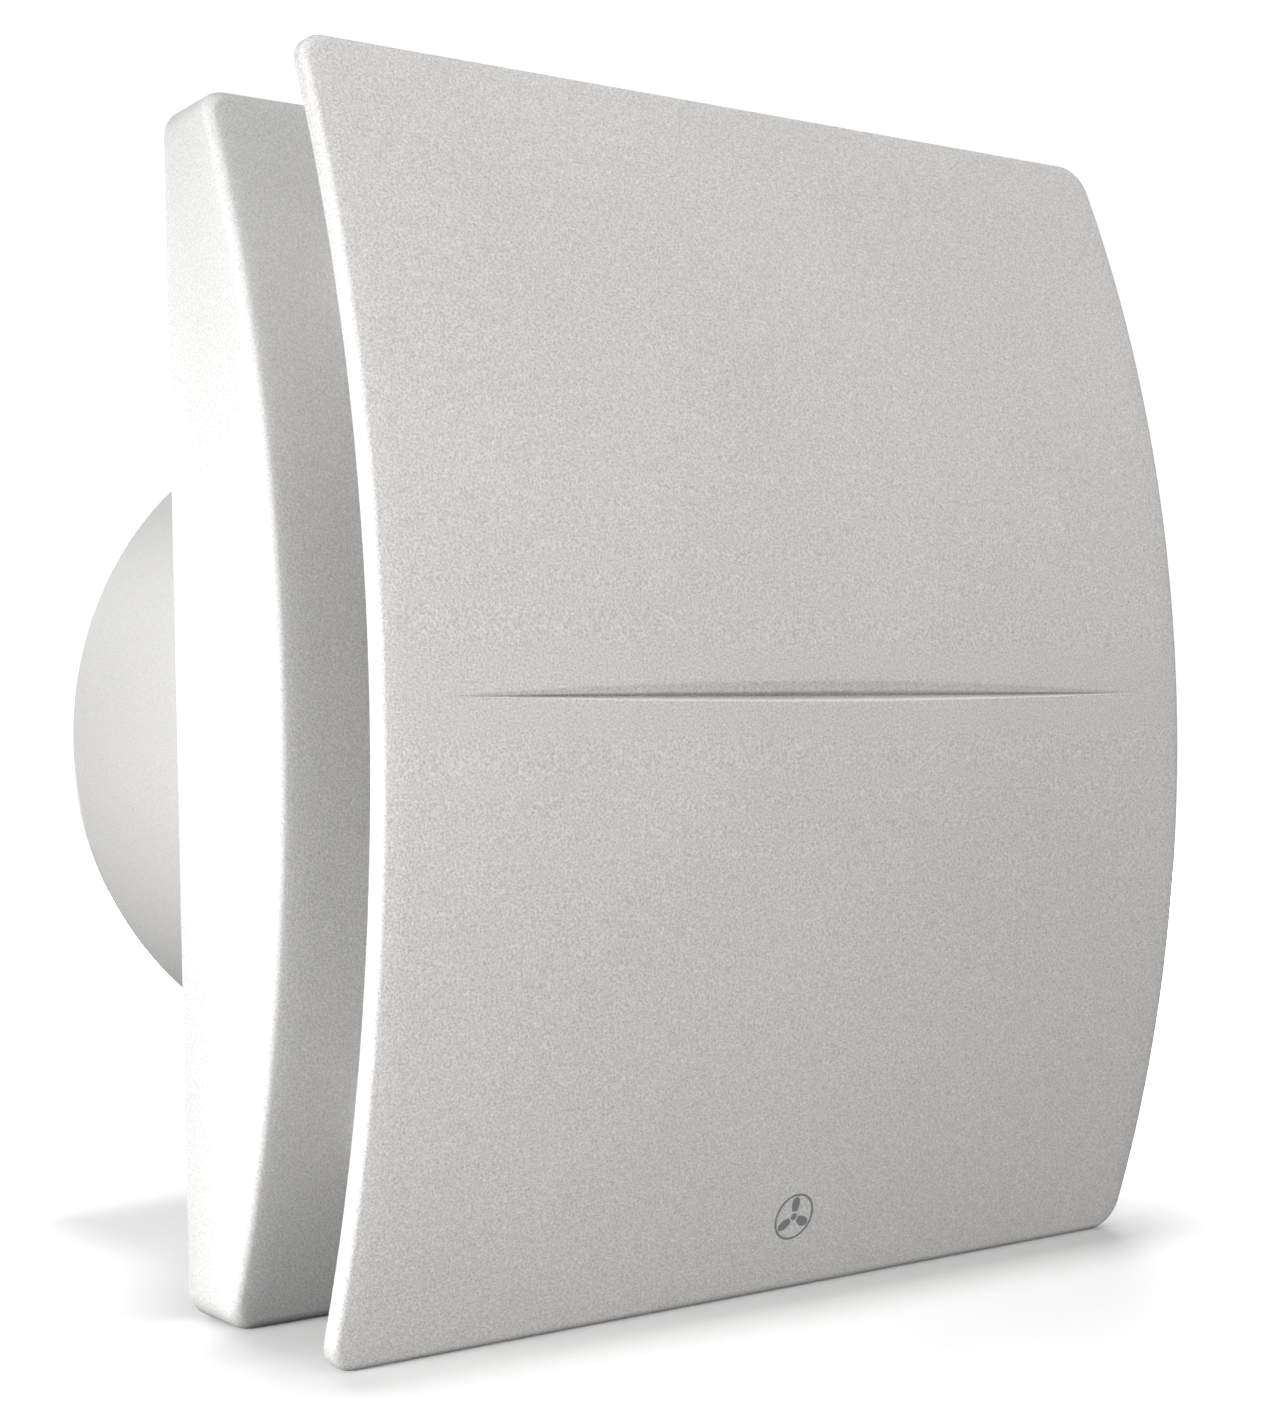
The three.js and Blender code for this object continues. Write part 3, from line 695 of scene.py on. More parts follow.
# ------------------------------------------------------------------ casing
holes = []
n0 = 5
path = edge_in(1.1, case_f, n0) + [(0, -20.7), (0.15, -20.35), (0.5, -20.2), (1.7, -20.2), (2.05, -20.35), (2.2, -20.7)]
path += [(2.2, lambda x, z: max(case_i(x, z), -30.5) if case_i(x, z) < -21.3 else case_i(x, z))]
holes.append((circle(57, 0, 0, 128, True), path))
for _, x, z in STUDS:
    top = -26.0
    holes.append(
        (
            circle(4.75, x, z, 48, True),
            [
                (2.85, case_f),
                (2.5, lambda x, z: case_f(x, z) - 0.12),
                (2.3, lambda x, z: max(case_f(x, z) - 0.5, -25.7) if case_f(x, z) > -25.4 else -25.6),
                (2.25, -25.55),
                (2.1, -25.85),
                (1.8, top),
                (0.35, top),
                (0.1, -25.9),
                (0, -25.6),
                (0, -13.4),
                (0.3, -13.0),
                (1.95, -13.0),
                (2.25, -13.4),
                (2.25, case_i),
            ],
        )
    )
for z in (83, -77):
    holes.append(
        (
            circle(4.6, 0, z, 48, True),
            edge_in(0.5, case_f, 4)
            + [(0, -13.2), (-0.06, -13.05), (-0.2, -13.0), (-2.45, -13.0), (-2.6, -12.85), (-2.6, -11.2), (-2.4, -11.0), (1.6, -11.0), (1.9, -11.3), (1.9, case_i)],
        )
    )
wall = [(0, -0.35), (0.1, -0.1), (0.35, 0), (1.85, 0), (2.1, -0.1), (2.2, -0.35)]
inner = [
    (2.2, lambda x, z: case_i(x, z) + 1.0),
    (2.35, lambda x, z: case_i(x, z) + 0.5),
    (2.7, lambda x, z: case_i(x, z) + 0.15),
    (3.2, case_i),
]
b = skin([(outline, edge_in(1.75, case_f, 8) + wall + inner)] + holes, case_f, case_i, step=4.0, step_rear=6.0)
b.object("casing", M["casing"], "housing", "casing", ["casing_shell"], sharp=50)


def cross(r, w, cx=0, cz=0):
    """A four-armed recess outline, clockwise."""
    p = [(r, -w, 0.2), (r, w, 0.2), (w, w, 0.15), (w, r, 0.2), (-w, r, 0.2), (-w, w, 0.15), (-r, w, 0.2), (-r, -w, 0.2), (-w, -w, 0.15), (-w, -r, 0.2), (w, -r, 0.2), (w, -w, 0.15)]
    q = fillet(p, 3)
    return [(x + cx, z + cz) for x, z in q][::-1]


def slot_mark(r, w):
    return [(x, z) for x, z in fillet([(r, -w, 0.1), (r, w, 0.1), (-r, w, 0.1), (-r, -w, 0.1)], 3)][::-1]


def screw(rh, yh, hh, rs, y_end, recess="cross", dome=0.4, depth=1.0, flip=False):
    """A screw along Y with its head at yh facing -Y (or +Y when flipped), its shank ending at y_end."""
    L = y_end - yh if not flip else yh - y_end
    path = [(rh - rh * 0.86, 0.0), (rh * 0.06, dome * 0.35), (0.0, dome), (0.0, hh - 0.15), (0.12, hh), (rh - rs - 0.1, hh), (rh - rs, hh + 0.1)]
    # a rolled thread as close rings
    y = hh + 0.5
    while y < L - 1.2:
        path += [(rh - rs, y), (rh - rs + 0.28, y + 0.3)]
        y += 0.6
    path += [(rh - rs, L - 1.0), (rh - rs * 0.35, L)]
    pk = [(cross(rh * 0.62, rh * 0.13), [(0, 0.0), (-0.05, 0.1), (-min(rh * 0.06, 0.1), depth)])] if recess == "cross" else [(slot_mark(rh * 0.85, rh * 0.14), [(0, 0.0), (0, depth)])]
    b = skin([(circle(rh, 0, 0, 40), path)], 0.0, L, pockets=pk)
    out = Build()
    out.add(b, Matrix.Translation((0, yh, 0)) if not flip else Matrix.Translation((0, yh, 0)) @ Matrix.Rotation(math.pi, 4, "X"))
    return out


for tag, z in (("upper", 83), ("lower", -77)):
    Build().add(screw(4.0, -15.55, 2.2, 1.6, -3.9), Matrix.Translation((0, 0, z))).object(
        "case_screw_" + tag, M["zinc"], "housing", "zinc_screw", ["casing_screw_" + tag], sharp=40, weighted=True
    )


# ------------------------------------------------------------------ inlet guard
def sector(r0, r1, a0, a1, w, rc=0.6):
    n1 = max(3, int((r1 * (a1 - a0)) / 1.6))
    p = []
    d1, d0 = math.asin(w / r1), math.asin(w / r0)
    for i in range(n1 + 1):
        a = a0 + d1 + (a1 - a0 - 2 * d1) * i / n1
        p.append((r1 * math.cos(a), r1 * math.sin(a), rc if i in (0, n1) else 0))
    n0_ = max(2, int((r0 * (a1 - a0)) / 1.6))
    for i in range(n0_ + 1):
        a = a1 - d0 - (a1 - a0 - 2 * d0) * i / n0_
        p.append((r0 * math.cos(a), r0 * math.sin(a), rc if i in (0, n0_) else 0))
    return fillet(p, 3)[::-1]


sect = []
bounds_r = [(9, 18), (19.8, 27.5), (29.3, 37), (38.8, 46.5), (48.3, 56)]
for r0, r1 in bounds_r:
    for k in range(8):
        a0 = math.radians(22.5 + 45 * k)
        sect.append((sector(r0, r1, a0, a0 + math.pi / 4, 0.9), edge_in(0.35, -19.9, 3) + edge_out(0.35, -17.9, 3)))
b = skin([(circle(61.2, 0, 0, 160), edge_in(0.4, -19.9, 3) + edge_out(0.4, -17.9, 3))] + sect, -19.9, -17.9)
b.fuse(lathe([(0, -19.96), (6.5, -19.96, 0.3), (7.2, -19.7, 0.3), (7.2, -19.0), (0, -19.0)], 64, 3))
b.object("guard", M["inner"], "housing", "inner_white", ["inlet_guard"], sharp=40, weighted=True)

# ------------------------------------------------------------------ base plate and duct spigot
def keyhole(cx, cz):
    """A head hole with a narrower slot above it, clockwise."""
    p = []
    for i in range(15):
        a = math.radians(180 * i / 14)
        p.append((cx + 3 * math.cos(a), cz + 5 + 3 * math.sin(a)))
    s = math.acos(3 / 4)
    a0, a1 = math.pi - s, 2 * math.pi + s
    for i in range(29):
        a = a0 + (a1 - a0) * i / 28
        p.append((cx + 4 * math.cos(a), cz - 4 + 4 * math.sin(a)))
    return p[::-1]


plate_edge = edge_in(0.4, -3.0, 3) + edge_out(0.4, 0.0, 3)
small = edge_in(0.3, -3.0, 3) + edge_out(0.3, 0.0, 3)
lp = [(rect(144, 175, 2, 0, ZM, 12, 6), plate_edge), (circle(62.0, 0, 0, 160, True), small)]
for sx in (-62, 62):
    for z in (80, -74):
        lp.append((keyhole(sx, z), small))
lp.append((circle(7.2, -44, 76, 64, True), small))
b = skin(lp, -3.0, 0.0)
for z in (83, -77):
    b.fuse(lathe([(1.9, -10.7, 0.2), (4.5, -10.7, 0.4), (4.5, -4.0, 0.0), (5.4, -3.0, 0), (5.4, -2.5), (1.9, -2.5)], 48, 4), Matrix.Translation((0, 0, z)))
for x in (-27, -9):
    b.fuse(lathe([(1.5, -6.5, 0.2), (3.0, -6.5, 0.3), (3.0, -2.5), (1.5, -2.5)], 32, 3), Matrix.Translation((x, 0, 75)))
b.object("plate", M["base"], "housing", "base", ["base_plate"], sharp=42, weighted=True)

tube = lathe(
    [
        (59.6, -17.6, 0.4),
        (61.6, -17.6, 0.4),
        (61.6, -4.9, 0.5),
        (65.4, -4.9, 0.4),
        (65.4, -3.3, 0.3),
        (61.6, -3.3, 0.0),
        (61.6, 72.2, 0.15),
        (60.9, 75.0, 0.3),
        (59.6, 75.0, 0.4),
        (59.6, 64.0, 0.4),
        (54.5, 64.0, 0.3),
        (54.5, 61.5, 0.3),
        (59.6, 61.5, 0.5),
    ],
    192,
    5,
)
for s in (-1, 1):
    z0, z1 = (54.5, 60.2) if s > 0 else (-60.2, -54.5)
    tube.fuse(box(-4.6, 4.6, 61.5, 71.5, z0, z1, 0.6, 4))
# the notch that the motor leads pass through
tube.cut(box(57, 68, -7.8, -2.6, -2.9, 2.9, 0.8, 4), turn(67.5))
tube.object("spigot", M["base"], "housing", "base", ["duct_spigot"], sharp=42, weighted=True)

Build().add(
    lathe([(4.6, -5, 0.5), (9.2, -5, 0.6), (9.2, -3.3, 0.3), (6.9, -3.3, 0.2), (6.9, -0.2, 0.2), (4.6, -0.2, 0.5)], 64, 5),
    Matrix.Translation((-44, 0, 76)),
).object("grommet", M["rubber"], "housing", "rubber", ["cable_grommet"])

# ------------------------------------------------------------------ motor carrier, cover, screws
A0 = 67.5
b = lathe(
    [(3.4, -6.4, 0.2), (8, -6.4, 0.8), (8, 0, 1.2), (24, 0, 2.2), (24, 34, 0.3), (22.3, 34, 0.3), (22.3, 2, 1.0), (5.75, 2, 0.4), (5.75, -5.4, 0.2), (3.4, -5.4, 0.2)],
    128,
    5,
)
b.fuse(lathe([(57.6, 1, 0.6), (59.3, 1, 0.3), (59.3, 27, 0.3), (57.6, 27, 0.6)], 160, 4))
for k in range(4):
    # a vane is a thin plate with a rounded leading edge and a finer trailing one
    v = []
    sec = fillet([(-0.9, 3.4, 0.8), (0.9, 3.4, 0.8), (0.9, 20, 3), (0.45, 25, 0.4), (-0.45, 25, 0.4), (-0.9, 20, 3)], 4)
    q = Build()
    q.rings([[(x, y, s) for s, y in sec] for x in (23.3, 40, 58.0)])
    n = len(sec)
    q.f.append(tuple(range(n)))
    q.f.append(tuple(range(2 * n, 3 * n))[::-1])
    b.fuse(q, turn(A0 + 90 * k))
for k in range(3):
    b.fuse(
        Build().add(lathe([(1.5, 26.5, 0.1), (3.2, 26.5, 0.5), (3.2, 34, 0.25), (1.5, 34, 0.1)], 40, 3), Matrix.Translation((25.3, 0, 0))),
        turn(22.5 + 120 * k),
    )
b.object("motor_frame", M["inner"], "housing", "inner_white", ["motor_carrier"], sharp=42, weighted=True)


def vent(a_deg):
    c, s = math.cos(math.radians(a_deg)), math.sin(math.radians(a_deg))
    p = fillet([(11, -1.6, 1.5), (19.5, -1.6, 1.5), (19.5, 1.6, 1.5), (11, 1.6, 1.5)], 5)
    return [(x * c - z * s, x * s + z * c) for x, z in p][::-1]


cover_path = edge_in(0.3, 34.3, 3) + edge_out(0.8, 37.3, 4)
sm = edge_in(0.25, 34.3, 3) + edge_out(0.25, 37.3, 3)
b = skin([(circle(24, 0, 0, 128), cover_path)] + [(vent(52.5 + 60 * i), sm) for i in range(6)] + [(circle(5.8, 0, 0, 48, True), [(0.2, 34.3), (0, 34.5), (0, 37.0), (0.3, 37.3)])], 34.3, 37.3)
b.fuse(lathe([(0, 41.8), (8, 41.8, 1.0), (8, 37.3, 0.8), (9.4, 36.9, 0), (5.8, 36.9, 0.0), (5.8, 39.4, 0.2), (3.4, 39.4, 0.1), (3.4, 40.6, 0.1), (0, 40.6)], 96, 5))
for k in range(3):
    b.fuse(
        Build().add(lathe([(1.6, 34.3, 0.1), (3.2, 34.3, 0.25), (3.2, 37.3, 0.5), (1.6, 37.3, 0.2)], 40, 3), Matrix.Translation((25.3, 0, 0))),
        turn(22.5 + 120 * k),
    )
b.object("motor_cap", M["inner"], "housing", "inner_white", ["motor_cover"], sharp=42, weighted=True)
for k in range(3):
    Build().add(
        Build().add(screw(2.4, 39.3, 1.7, 1.05, 28.6, depth=0.8, dome=0.35, flip=True), Matrix.Translation((25.4, 0, 0))),
        turn(22.5 + 120 * k),
    ).object("cap_screw_%d" % (k + 1), M["zinc"], "housing", "zinc_screw", ["motor_cover_screw_%d" % (k + 1)], sharp=40, weighted=True)

# ------------------------------------------------------------------ impeller and shaft
b = lathe(
    [(2.8, -15.2, 0.2), (20.5, -15.2, 1.5), (22.9, -14.2, 2.0), (24, -12, 1.8), (24, -2.6, 0.4), (22.2, -2.6, 0.4), (22.2, -11.4, 1.2), (20.5, -13.2, 1.0), (6, -13.2, 0.8), (6, -8, 0.5), (2.8, -8, 0.2)],
    128,
    5,
)
HUB, TIP, NB = 24.0, 57.3, 7
for k in range(NB):
    nu, ns = 18, 22
    rings = []
    for iu in range(nu + 1):
        u = iu / nu
        r = HUB - 0.9 + (TIP - HUB + 0.9) * u
        chord, rise = 21 + 15 * u, 11.4 - 4.4 * u
        th0 = 1.9 - 0.6 * u
        cam_ = 2.2 - 0.8 * u
        shrink = 1.0
        if u > 0.97:
            shrink = math.sqrt(max(0.0, 1 - ((u - 0.97) / 0.03) ** 2)) * 0.8 + 0.2
        sec = []
        for side in (1, -1):
            rng = range(ns + 1) if side > 0 else range(ns - 1, 0, -1)
            for i in rng:
                s = -0.5 + i / ns
                # rounded leading edge, finer trailing edge
                e = max(0.0, 1 - (2 * abs(s)) ** (6 if s > 0 else 4)) ** 0.5
                th = th0 * (1 - 1.0 * s * s) * max(e, 0.0) * shrink
                # the blade's ends are cut back in a curve near the tip
                tipcut = 1 - 0.05 * max(0.0, (u - 0.8) / 0.2) ** 2
                a = (s * tipcut * chord) / r + k * 2 * math.pi / NB + 0.16 * u * u
                y = -8.9 - s * rise - cam_ * (1 - 4 * s * s) * 0.5 + side * 0.5 * th
                sec.append((r * math.cos(a), y, r * math.sin(a)))
        rings.append(sec)
    q = Build()
    q.rings(rings)
    n = len(rings[0])
    for base_i, rev in ((0, False), (nu * n, True)):
        ids = [base_i + i for i in range(n)]
        # a strip of quads closes the section
        for i in range(ns // 1):
            a_, b_ = i, i + 1
            c_, d_ = (n - i - 1) % n if i + 1 < ns else ns, (n - i) % n
            f = [ids[a_], ids[b_], ids[c_] if i + 1 < ns else ids[ns], ids[d_]]
            g = []
            for w in f:
                if w not in g:
                    g.append(w)
            if len(g) >= 3:
                q.f.append(tuple(g))
    b.fuse(q)
b.object("impeller_moulding", M["impeller"], "rotor", "impeller", ["impeller"], sharp=40)
lathe([(0, -17), (2.5, -17, 0.4), (2.5, 39.3, 0.4), (0, 39.3)], 48, 4).object("shaft", M["steel"], "rotor", "steel", ["motor_shaft"])
for tag, y0, y1 in (("front", -5.1, -0.4), ("rear", 34.4, 39.1)):
    lathe([(2.8, y0, 0.3), (5.4, y0, 0.4), (5.4, y1, 0.4), (2.8, y1, 0.3)], 64, 4).object("bush_bearing_" + tag, M["brass"], "housing", "steel", ["bearing_" + tag])

# ------------------------------------------------------------------ damper
DY = 67.0


def flap(sign):
    R = 58.2
    a = math.acos(3.4 / R)
    zc = math.sqrt(R * R - 8.6**2)
    a2 = math.atan2(zc, 8.6)
    p = [(3.4, -53.4, 0.6), (8.6, -53.4, 0.6)]
    n = 60
    for i in range(n + 1):
        q = -a2 + 2 * a2 * i / n
        p.append((R * math.cos(q), R * math.sin(q), 0))
    p += [(8.6, 53.4, 0.6), (3.4, 53.4, 0.6)]
    b = skin([(fillet(p, 3), edge_in(0.35, 64.3, 3) + edge_out(0.35, 65.5, 3))], 64.3, 65.5)
    # ribs: one across, then the knuckles on the spindle
    b.fuse(box(9, 46, 65.2, 66.6, -0.7, 0.7, 0.3))
    spans = [(24, 40), (-24, -10)] if sign > 0 else [(10, 23.6), (-40, -24.4)]
    for z0, z1 in spans:
        b.fuse(box(2.1, 5.2, 64.3, 66.4, z0 + 0.05, z1 - 0.05, 0.35))
        b.fuse(rod_z(2.9, z0, z1, 0, DY, 48, 0.3, hole=1.75))
    if sign < 0:
        mirror = Matrix.Scale(-1, 4, (1, 0, 0))
        out = Build().add(b, mirror)
        for q in b.extra:
            out.fuse(q, mirror)
        return out
    return b


for tag, s in (("left", -1), ("right", 1)):
    flap(s).object("flap_" + tag, M["damper"], "flap_" + tag, "damper", ["damper_flap_" + tag], sharp=42, weighted=True)
rod_z(1.5, -58.2, 58.2, 0, DY, 40, 0.3).object("spindle", M["steel_v"], "housing", "steel", ["damper_spindle"])


def tube_along(points, r, seg=12):
    """A round wire along a list of points, closed at both ends."""
    P = [Vector(p) for p in points]
    t0 = (P[1] - P[0]).normalized()
    n0 = t0.orthogonal().normalized()
    rings = []
    for i, p in enumerate(P):
        t = ((P[i + 1] if i + 1 < len(P) else p) - (P[i - 1] if i else p)).normalized()
        n0 = (n0 - t * n0.dot(t)).normalized()
        b2 = t.cross(n0)
        rings.append([tuple(p + (n0 * math.cos(2 * math.pi * k / seg) + b2 * math.sin(2 * math.pi * k / seg)) * r) for k in range(seg)])
    b = Build()
    ids = b.rings(rings)
    b.f.append(tuple(ids[0]))
    b.f.append(tuple(ids[-1])[::-1])
    return b


for tag, body, z0, z1, sx in (("left", "flap_left", 0.6, 8.8, -1), ("right", "flap_right", -8.8, -0.6, 1)):
    # a coil round the spindle, one leg lying along its leaf
    pts = []
    turns, rc, rw = 6.5, 2.16, 0.26
    nseg = 20
    zs = (z0 + rw, z1 - rw)
    a_end = 0.0 if sx > 0 else math.pi
    y_leaf = -0.98
    a_leg = math.asin(y_leaf / rc) if sx > 0 else math.pi - math.asin(y_leaf / rc)
    for i in range(int(turns * nseg) + 1):
        t = i / (turns * nseg)
        a = a_leg - sx * 2 * math.pi * turns * (1 - t)
        z = zs[0] + (zs[1] - zs[0]) * t if sx < 0 else zs[1] + (zs[0] - zs[1]) * t
        pts.append((rc * math.cos(a), DY + rc * math.sin(a), z))
    last = pts[-1]
    for k in range(1, 9):
        pts.append((last[0] + sx * 1.25 * k, max(DY + y_leaf, 65.8), last[2]))
    tube_along(pts, rw, 10).object("spring_" + tag, M["spring"], body, "steel", ["damper_spring_" + tag], sharp=60)

# ------------------------------------------------------------------ wiring parts
x0, pitch_ = 10.0, 10.0
lp = [(rect(30, 15, 0.8, 25, 76.5, 30, 4), edge_in(0.5, -12.6, 4) + edge_out(0.4, -3.3, 3))]
pk = []
for i in range(3):
    for z in (72.6, 80.4):
        pk.append((circle(2.8, x0 + pitch_ * (i + 0.5), z, 32, True), [(0.2, -12.6), (0, -12.4), (0, -5.4)]))
b = skin(lp, -12.6, -3.3, pockets=pk)
b.object("terminal_body", M["ivory"], "housing", "terminal_body", ["terminal_block"], sharp=40, weighted=True)
for i in range(3):
    for tag, z in (("supply", 80.4), ("motor", 72.6)):
        Build().add(screw(2.2, -11.7, 1.6, 1.4, -9.05, recess="slot", depth=0.7, dome=0.2), Matrix.Translation((x0 + pitch_ * (i + 0.5), 0, z))).object(
            "terminal_%s_%d" % (tag, i + 1), M["brass"], "housing", "terminal_brass", ["terminal_screw_%s_%d" % (tag, i + 1)], sharp=40, weighted=True
        )
sec = fillet([(-13, -9.2, 0.5), (-5.6, -9.2, 0.6), (-5.6, -11.6, 0.8), (5.6, -11.6, 0.8), (5.6, -9.2, 0.6), (13, -9.2, 0.5), (13, -6.8, 0.5), (4.2, -6.8, 0.3)] + [(4.4 * math.cos(math.radians(a)), -5.6 - 4.4 * math.sin(math.radians(a)), 0) for a in range(20, 165, 10)] + [(-4.2, -6.8, 0.3), (-13, -6.8, 0.5)], 4)
b = Build()
zz = [71.5, 71.65, 72.0, 78.0, 78.35, 78.5]
sh = [0.35, 0.1, 0.0, 0.0, 0.1, 0.35]
rings = []
secs = [(-18 + u, v) for u, v in sec]
for z, d in zip(zz, sh):
    q = offset(secs, d)
    rings.append([(x, y, z) for x, y in q])
b.rings(rings)
n = len(sec)
b.f.append(tuple(range(n)))
b.f.append(tuple(range(5 * n, 6 * n))[::-1])
b.object("clamp_bar", M["ivory"], "housing", "terminal_body", ["cable_clamp"], sharp=40, weighted=True)
for tag, x in (("left", -27), ("right", -9)):
    Build().add(screw(2.6, -11.3, 1.8, 1.2, -2.6, depth=0.9), Matrix.Translation((x, 0, 75))).object(
        "clamp_fixing_" + tag, M["zinc"], "housing", "zinc_screw", ["clamp_screw_" + tag], sharp=40, weighted=True
    )


def smooth_path(points, n=10):
    """Catmull-Rom through the points."""
    P = [Vector(p) for p in points]
    P = [P[0] * 2 - P[1]] + P + [P[-1] * 2 - P[-2]]
    out = []
    for i in range(1, len(P) - 2):
        for k in range(n):
            t = k / n
            a, b_, c, d = P[i - 1], P[i], P[i + 1], P[i + 2]
            out.append(0.5 * ((2 * b_) + (c - a) * t + (2 * a - 5 * b_ + 4 * c - d) * t * t + (3 * b_ - a - 3 * c + d) * t**3))
    out.append(P[-2])
    return out


A = math.radians(67.5)
at = lambda r, s, y: (r * math.cos(A) - s * math.sin(A), y, r * math.sin(A) + s * math.cos(A))
for name, side, x, mat, slot in (("live", -1.15, 25, "brown", "lead_brown"), ("neutral", 1.15, 15, "blue", "lead_blue")):
    route = [(x, -6.9, 71), (x, -6.9, 68.4), at(66.5, side, -6.6), at(63, side, -5.7), at(60, side, -4.5), at(57, side, -2.8), at(54, side, -0.5), at(50, side, 1.5), at(36, side, 1.7), at(26, side, 1.9), at(22.2, side, 2.9), at(20, side, 5.2)]
    tube_along(smooth_path(route, 8), 0.84, 14).object("wire_" + name, M[mat], "housing", slot, ["motor_lead_" + name], sharp=60)

# ------------------------------------------------------------------ motor core, windings, rotor, clip
def stack(r0, r1, y0, y1, pitch, depth, seg, ends=0.0):
    """A laminated ring: fine ridges down its outer and inner walls."""
    n = int(round((y1 - y0 - 2 * ends) / pitch))
    out = [(r1, y0 + ends + pitch * i / 2, depth if i % 2 else 0.0) for i in range(2 * n + 1)]
    prof = [(r0, y0), (r1 - 0.3, y0), (r1, y0 + 0.3)] if ends else [(r0, y0)]
    prof += [(r - d, y) for r, y, d in out]
    if ends:
        prof += [(r1, y1 - 0.3), (r1 - 0.3, y1)]
    prof += [(r0, y1)]
    prof += [(r0 + d, y) for _, y, d in out[::-1]][1:-1]
    return lathe(prof, seg, 1)


stack(13.8, 21.8, 10, 26, 0.5, 0.09, 96).object("core_stack", M["lam"], "housing", "laminations", ["stator_core"], sharp=60)
stack(2.8, 13.2, 10, 26, 0.5, 0.08, 72, ends=1.6).object("rotor_stack", M["lam"], "rotor", "laminations", ["motor_rotor"], sharp=60)


def coil(y0, y1):
    """A wound ring: rows of round wire round a rounded section."""
    path = fillet([(14.95, y0 + 0.15, 1.1), (21.05, y0 + 0.15, 1.3), (21.05, y1 - 0.15, 1.0), (14.95, y1 - 0.15, 0.8)], 6)
    P = np.array(path + path[:1])
    seg = np.linalg.norm(np.diff(P, axis=0), axis=1)
    L = np.concatenate([[0], np.cumsum(seg)])
    rows = int(L[-1] / 0.42)
    k = rows * 5
    t = np.linspace(0, L[-1], k, endpoint=False)
    u, v = np.interp(t, L, P[:, 0]), np.interp(t, L, P[:, 1])
    d = np.stack([np.roll(u, -1) - np.roll(u, 1), np.roll(v, -1) - np.roll(v, 1)], 1)
    d /= np.linalg.norm(d, axis=1)[:, None]
    h = 0.13 * np.abs(np.sin(np.pi * np.arange(k) / 5)) - 0.02
    u, v = u + d[:, 1] * h, v - d[:, 0] * h
    return lathe([(float(a_), float(b_)) for a_, b_ in zip(u, v)], 96, 1)


coil(6.6, 9.7).object("winding_front", M["copper"], "housing", "copper_winding", ["stator_winding_front"], sharp=70)
coil(26.3, 31.0).object("winding_rear", M["copper"], "housing", "copper_winding", ["stator_winding_rear"], sharp=70)

# a sprung clip: an open ring with three inner tongues
cp = []
for i in range(61):
    a = math.radians(-60 + 300 * i / 60 + 90 + 30)
    cp.append((5.35 * math.cos(a), 5.35 * math.sin(a)))
for i in range(60, -1, -1):
    a = math.radians(-60 + 300 * i / 60 + 90 + 30)
    w = 3.6 if (i % 30) not in range(0, 6) and (i % 30) not in range(25, 30) else 2.85
    cp.append((w * math.cos(a), w * math.sin(a)))
skin([(fillet([(x, z, 0.12) for x, z in cp], 2), edge_in(0.1, -16.45, 2) + edge_out(0.1, -15.55, 2))], -16.45, -15.55).object(
    "hub_clip", M["spring"], "rotor", "steel", ["impeller_clip"], sharp=40, weighted=True
)

# ------------------------------------------------------------------ floor, light
fl_me = bpy.data.meshes.new("floor")
fl_me.from_pydata([(-6, -6, FLOOR_Z), (6, -6, FLOOR_Z), (6, 6, FLOOR_Z), (-6, 6, FLOOR_Z)], [], [(0, 1, 2, 3)])
floor = bpy.data.objects.new("floor", fl_me)
bpy.context.scene.collection.objects.link(floor)
fm = bpy.data.materials.new("floor")
fm.use_nodes = True
ft = fm.node_tree
ft.nodes.clear()
out = ft.nodes.new("ShaderNodeOutputMaterial")
dif = ft.nodes.new("ShaderNodeBsdfDiffuse")
lp_ = ft.nodes.new("ShaderNodeLightPath")
mr = ft.nodes.new("ShaderNodeMapRange")
mr.inputs["To Min"].default_value = 0.04
# the floor runs to white away from the part
geo = ft.nodes.new("ShaderNodeNewGeometry")
ln_ = ft.nodes.new("ShaderNodeVectorMath")
ln_.operation = "LENGTH"
far = ft.nodes.new("ShaderNodeMapRange")
far.inputs["From Min"].default_value = 0.12
far.inputs["From Max"].default_value = 1.2
far.inputs["To Min"].default_value = 1.22
far.inputs["To Max"].default_value = 8.0
ft.links.new(geo.outputs["Position"], ln_.inputs[0])
ft.links.new(ln_.outputs["Value"], far.inputs["Value"])
ft.links.new(far.outputs["Result"], mr.inputs["To Max"])
ft.links.new(lp_.outputs["Is Camera Ray"], mr.inputs["Value"])
ft.links.new(mr.outputs["Result"], dif.inputs["Color"])
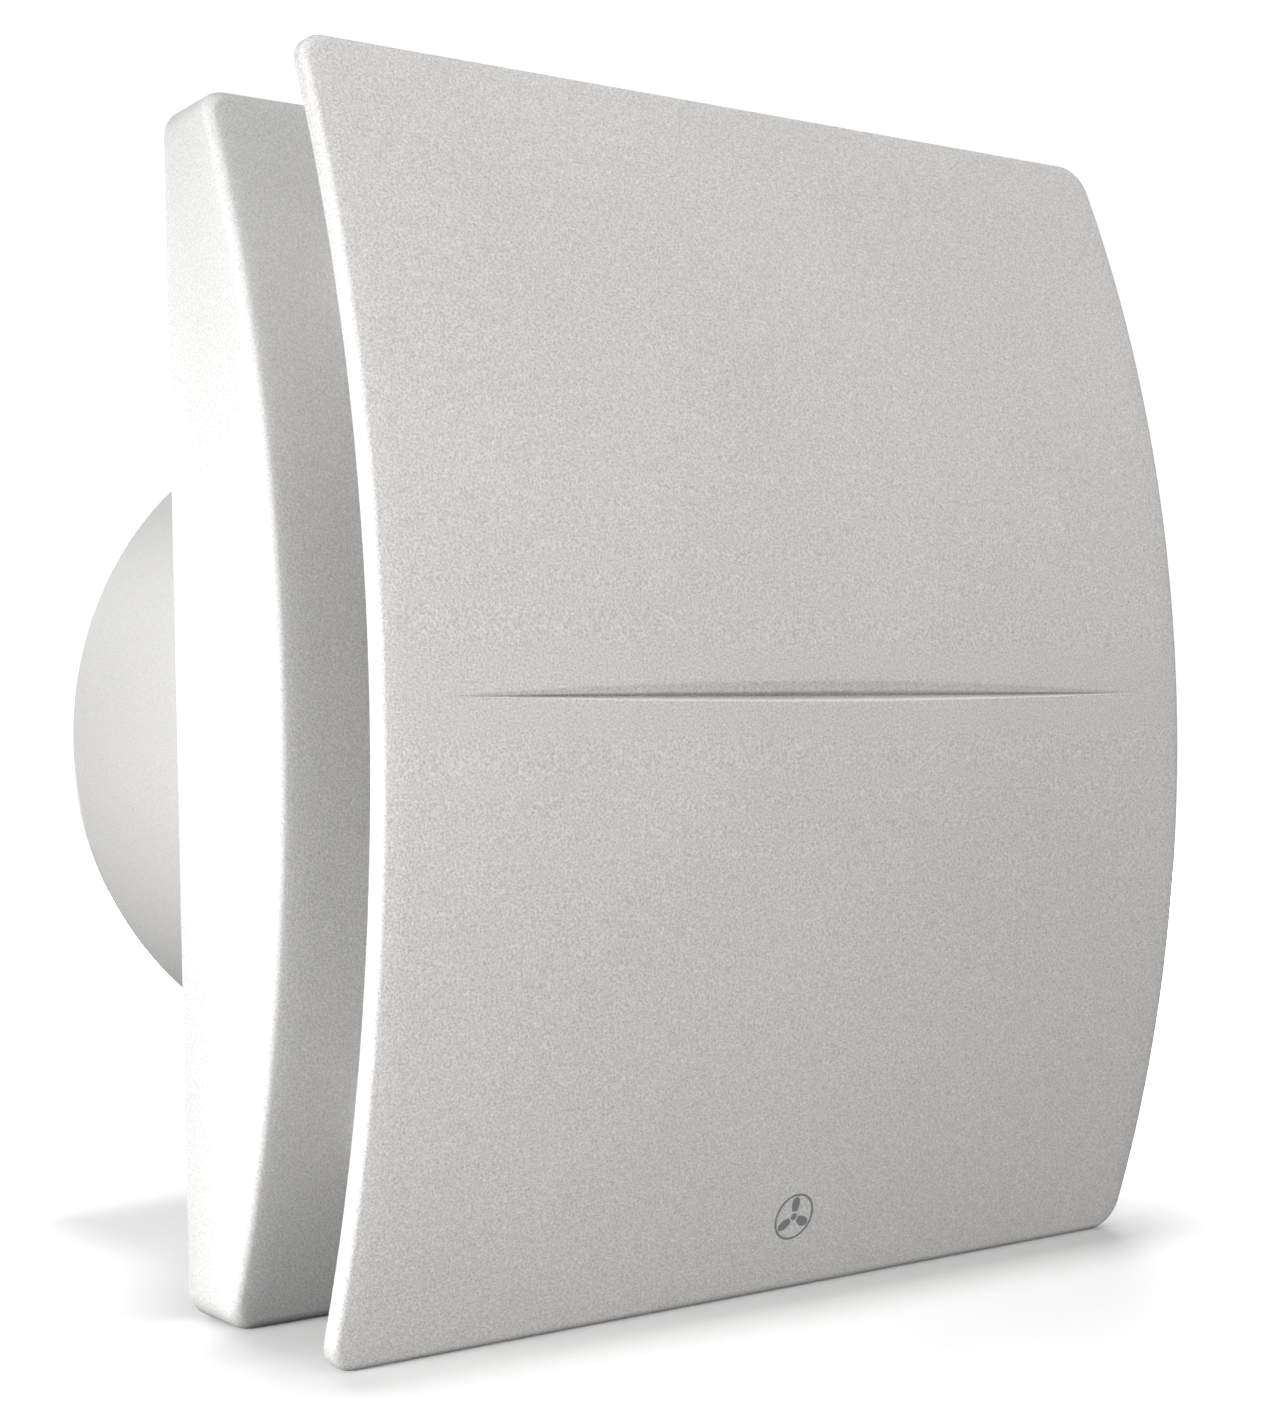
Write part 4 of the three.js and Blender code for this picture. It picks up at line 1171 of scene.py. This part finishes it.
# from underneath the floor is clear
tr_ = ft.nodes.new("ShaderNodeBsdfTransparent")
mx_ = ft.nodes.new("ShaderNodeMixShader")
ft.links.new(geo.outputs["Backfacing"], mx_.inputs[0])
ft.links.new(dif.outputs["BSDF"], mx_.inputs[1])
ft.links.new(tr_.outputs["BSDF"], mx_.inputs[2])
ft.links.new(mx_.outputs["Shader"], out.inputs["Surface"])
fl_me.materials.append(fm)

world = bpy.data.worlds.new("world")
bpy.context.scene.world = world
world.use_nodes = True
wt = world.node_tree
wt.nodes.clear()
wo = wt.nodes.new("ShaderNodeOutputWorld")
bg = wt.nodes.new("ShaderNodeBackground")
bg.inputs["Color"].default_value = (1, 1, 1, 1)
wl = wt.nodes.new("ShaderNodeLightPath")
wm = wt.nodes.new("ShaderNodeMapRange")
wm.inputs["To Min"].default_value = 0.15
wm.inputs["To Max"].default_value = 1.05
wt.links.new(wl.outputs["Is Camera Ray"], wm.inputs["Value"])
wt.links.new(wm.outputs["Result"], bg.inputs["Strength"])
wt.links.new(bg.outputs["Background"], wo.inputs["Surface"])


def area(name, pos, target, size, power, size_y=None):
    d = bpy.data.lights.new(name, "AREA")
    d.shape = "RECTANGLE"
    d.size = size
    d.size_y = size_y or size
    d.energy = power
    o = bpy.data.objects.new(name, d)
    bpy.context.scene.collection.objects.link(o)
    o.location = pos
    o.rotation_euler = (Vector(target) - Vector(pos)).to_track_quat("-Z", "Y").to_euler()
    return o


# soft boxes at the left, overhead and in front, and a weaker one behind for the other sides
area("overhead", (0.0, -0.12, 1.0), (0, 0, 0), 0.22, 3.7)
area("overhead_front", (0.32, -0.36, 0.88), (0, 0, 0), 0.35, 0.3)
area("left_high", (-0.85, -0.05, 0.03), (0, 0, -0.02), 0.45, 2.85)
area("left_low", (-0.30, -0.09, -0.07), (-0.05, 0, -0.06), 0.16, 1.12)
area("front_broad", (-0.4, -1.2, 0.35), (0, 0, 0), 0.9, 1.3)
area("front_low", (-0.1, -1.1, -0.08), (0, 0, -0.03), 0.16, 7.7)
area("back_right", (0.75, 0.85, 0.35), (0, 0.02, 0), 0.6, 8.0)
area("back", (0.12, 1.3, 0.12), (0, 0.02, 0), 0.6, 7.0)

vs = bpy.context.scene.view_settings
vs.view_transform = "Standard"
vs.look = "None"
vs.exposure = 0
vs.gamma = 1
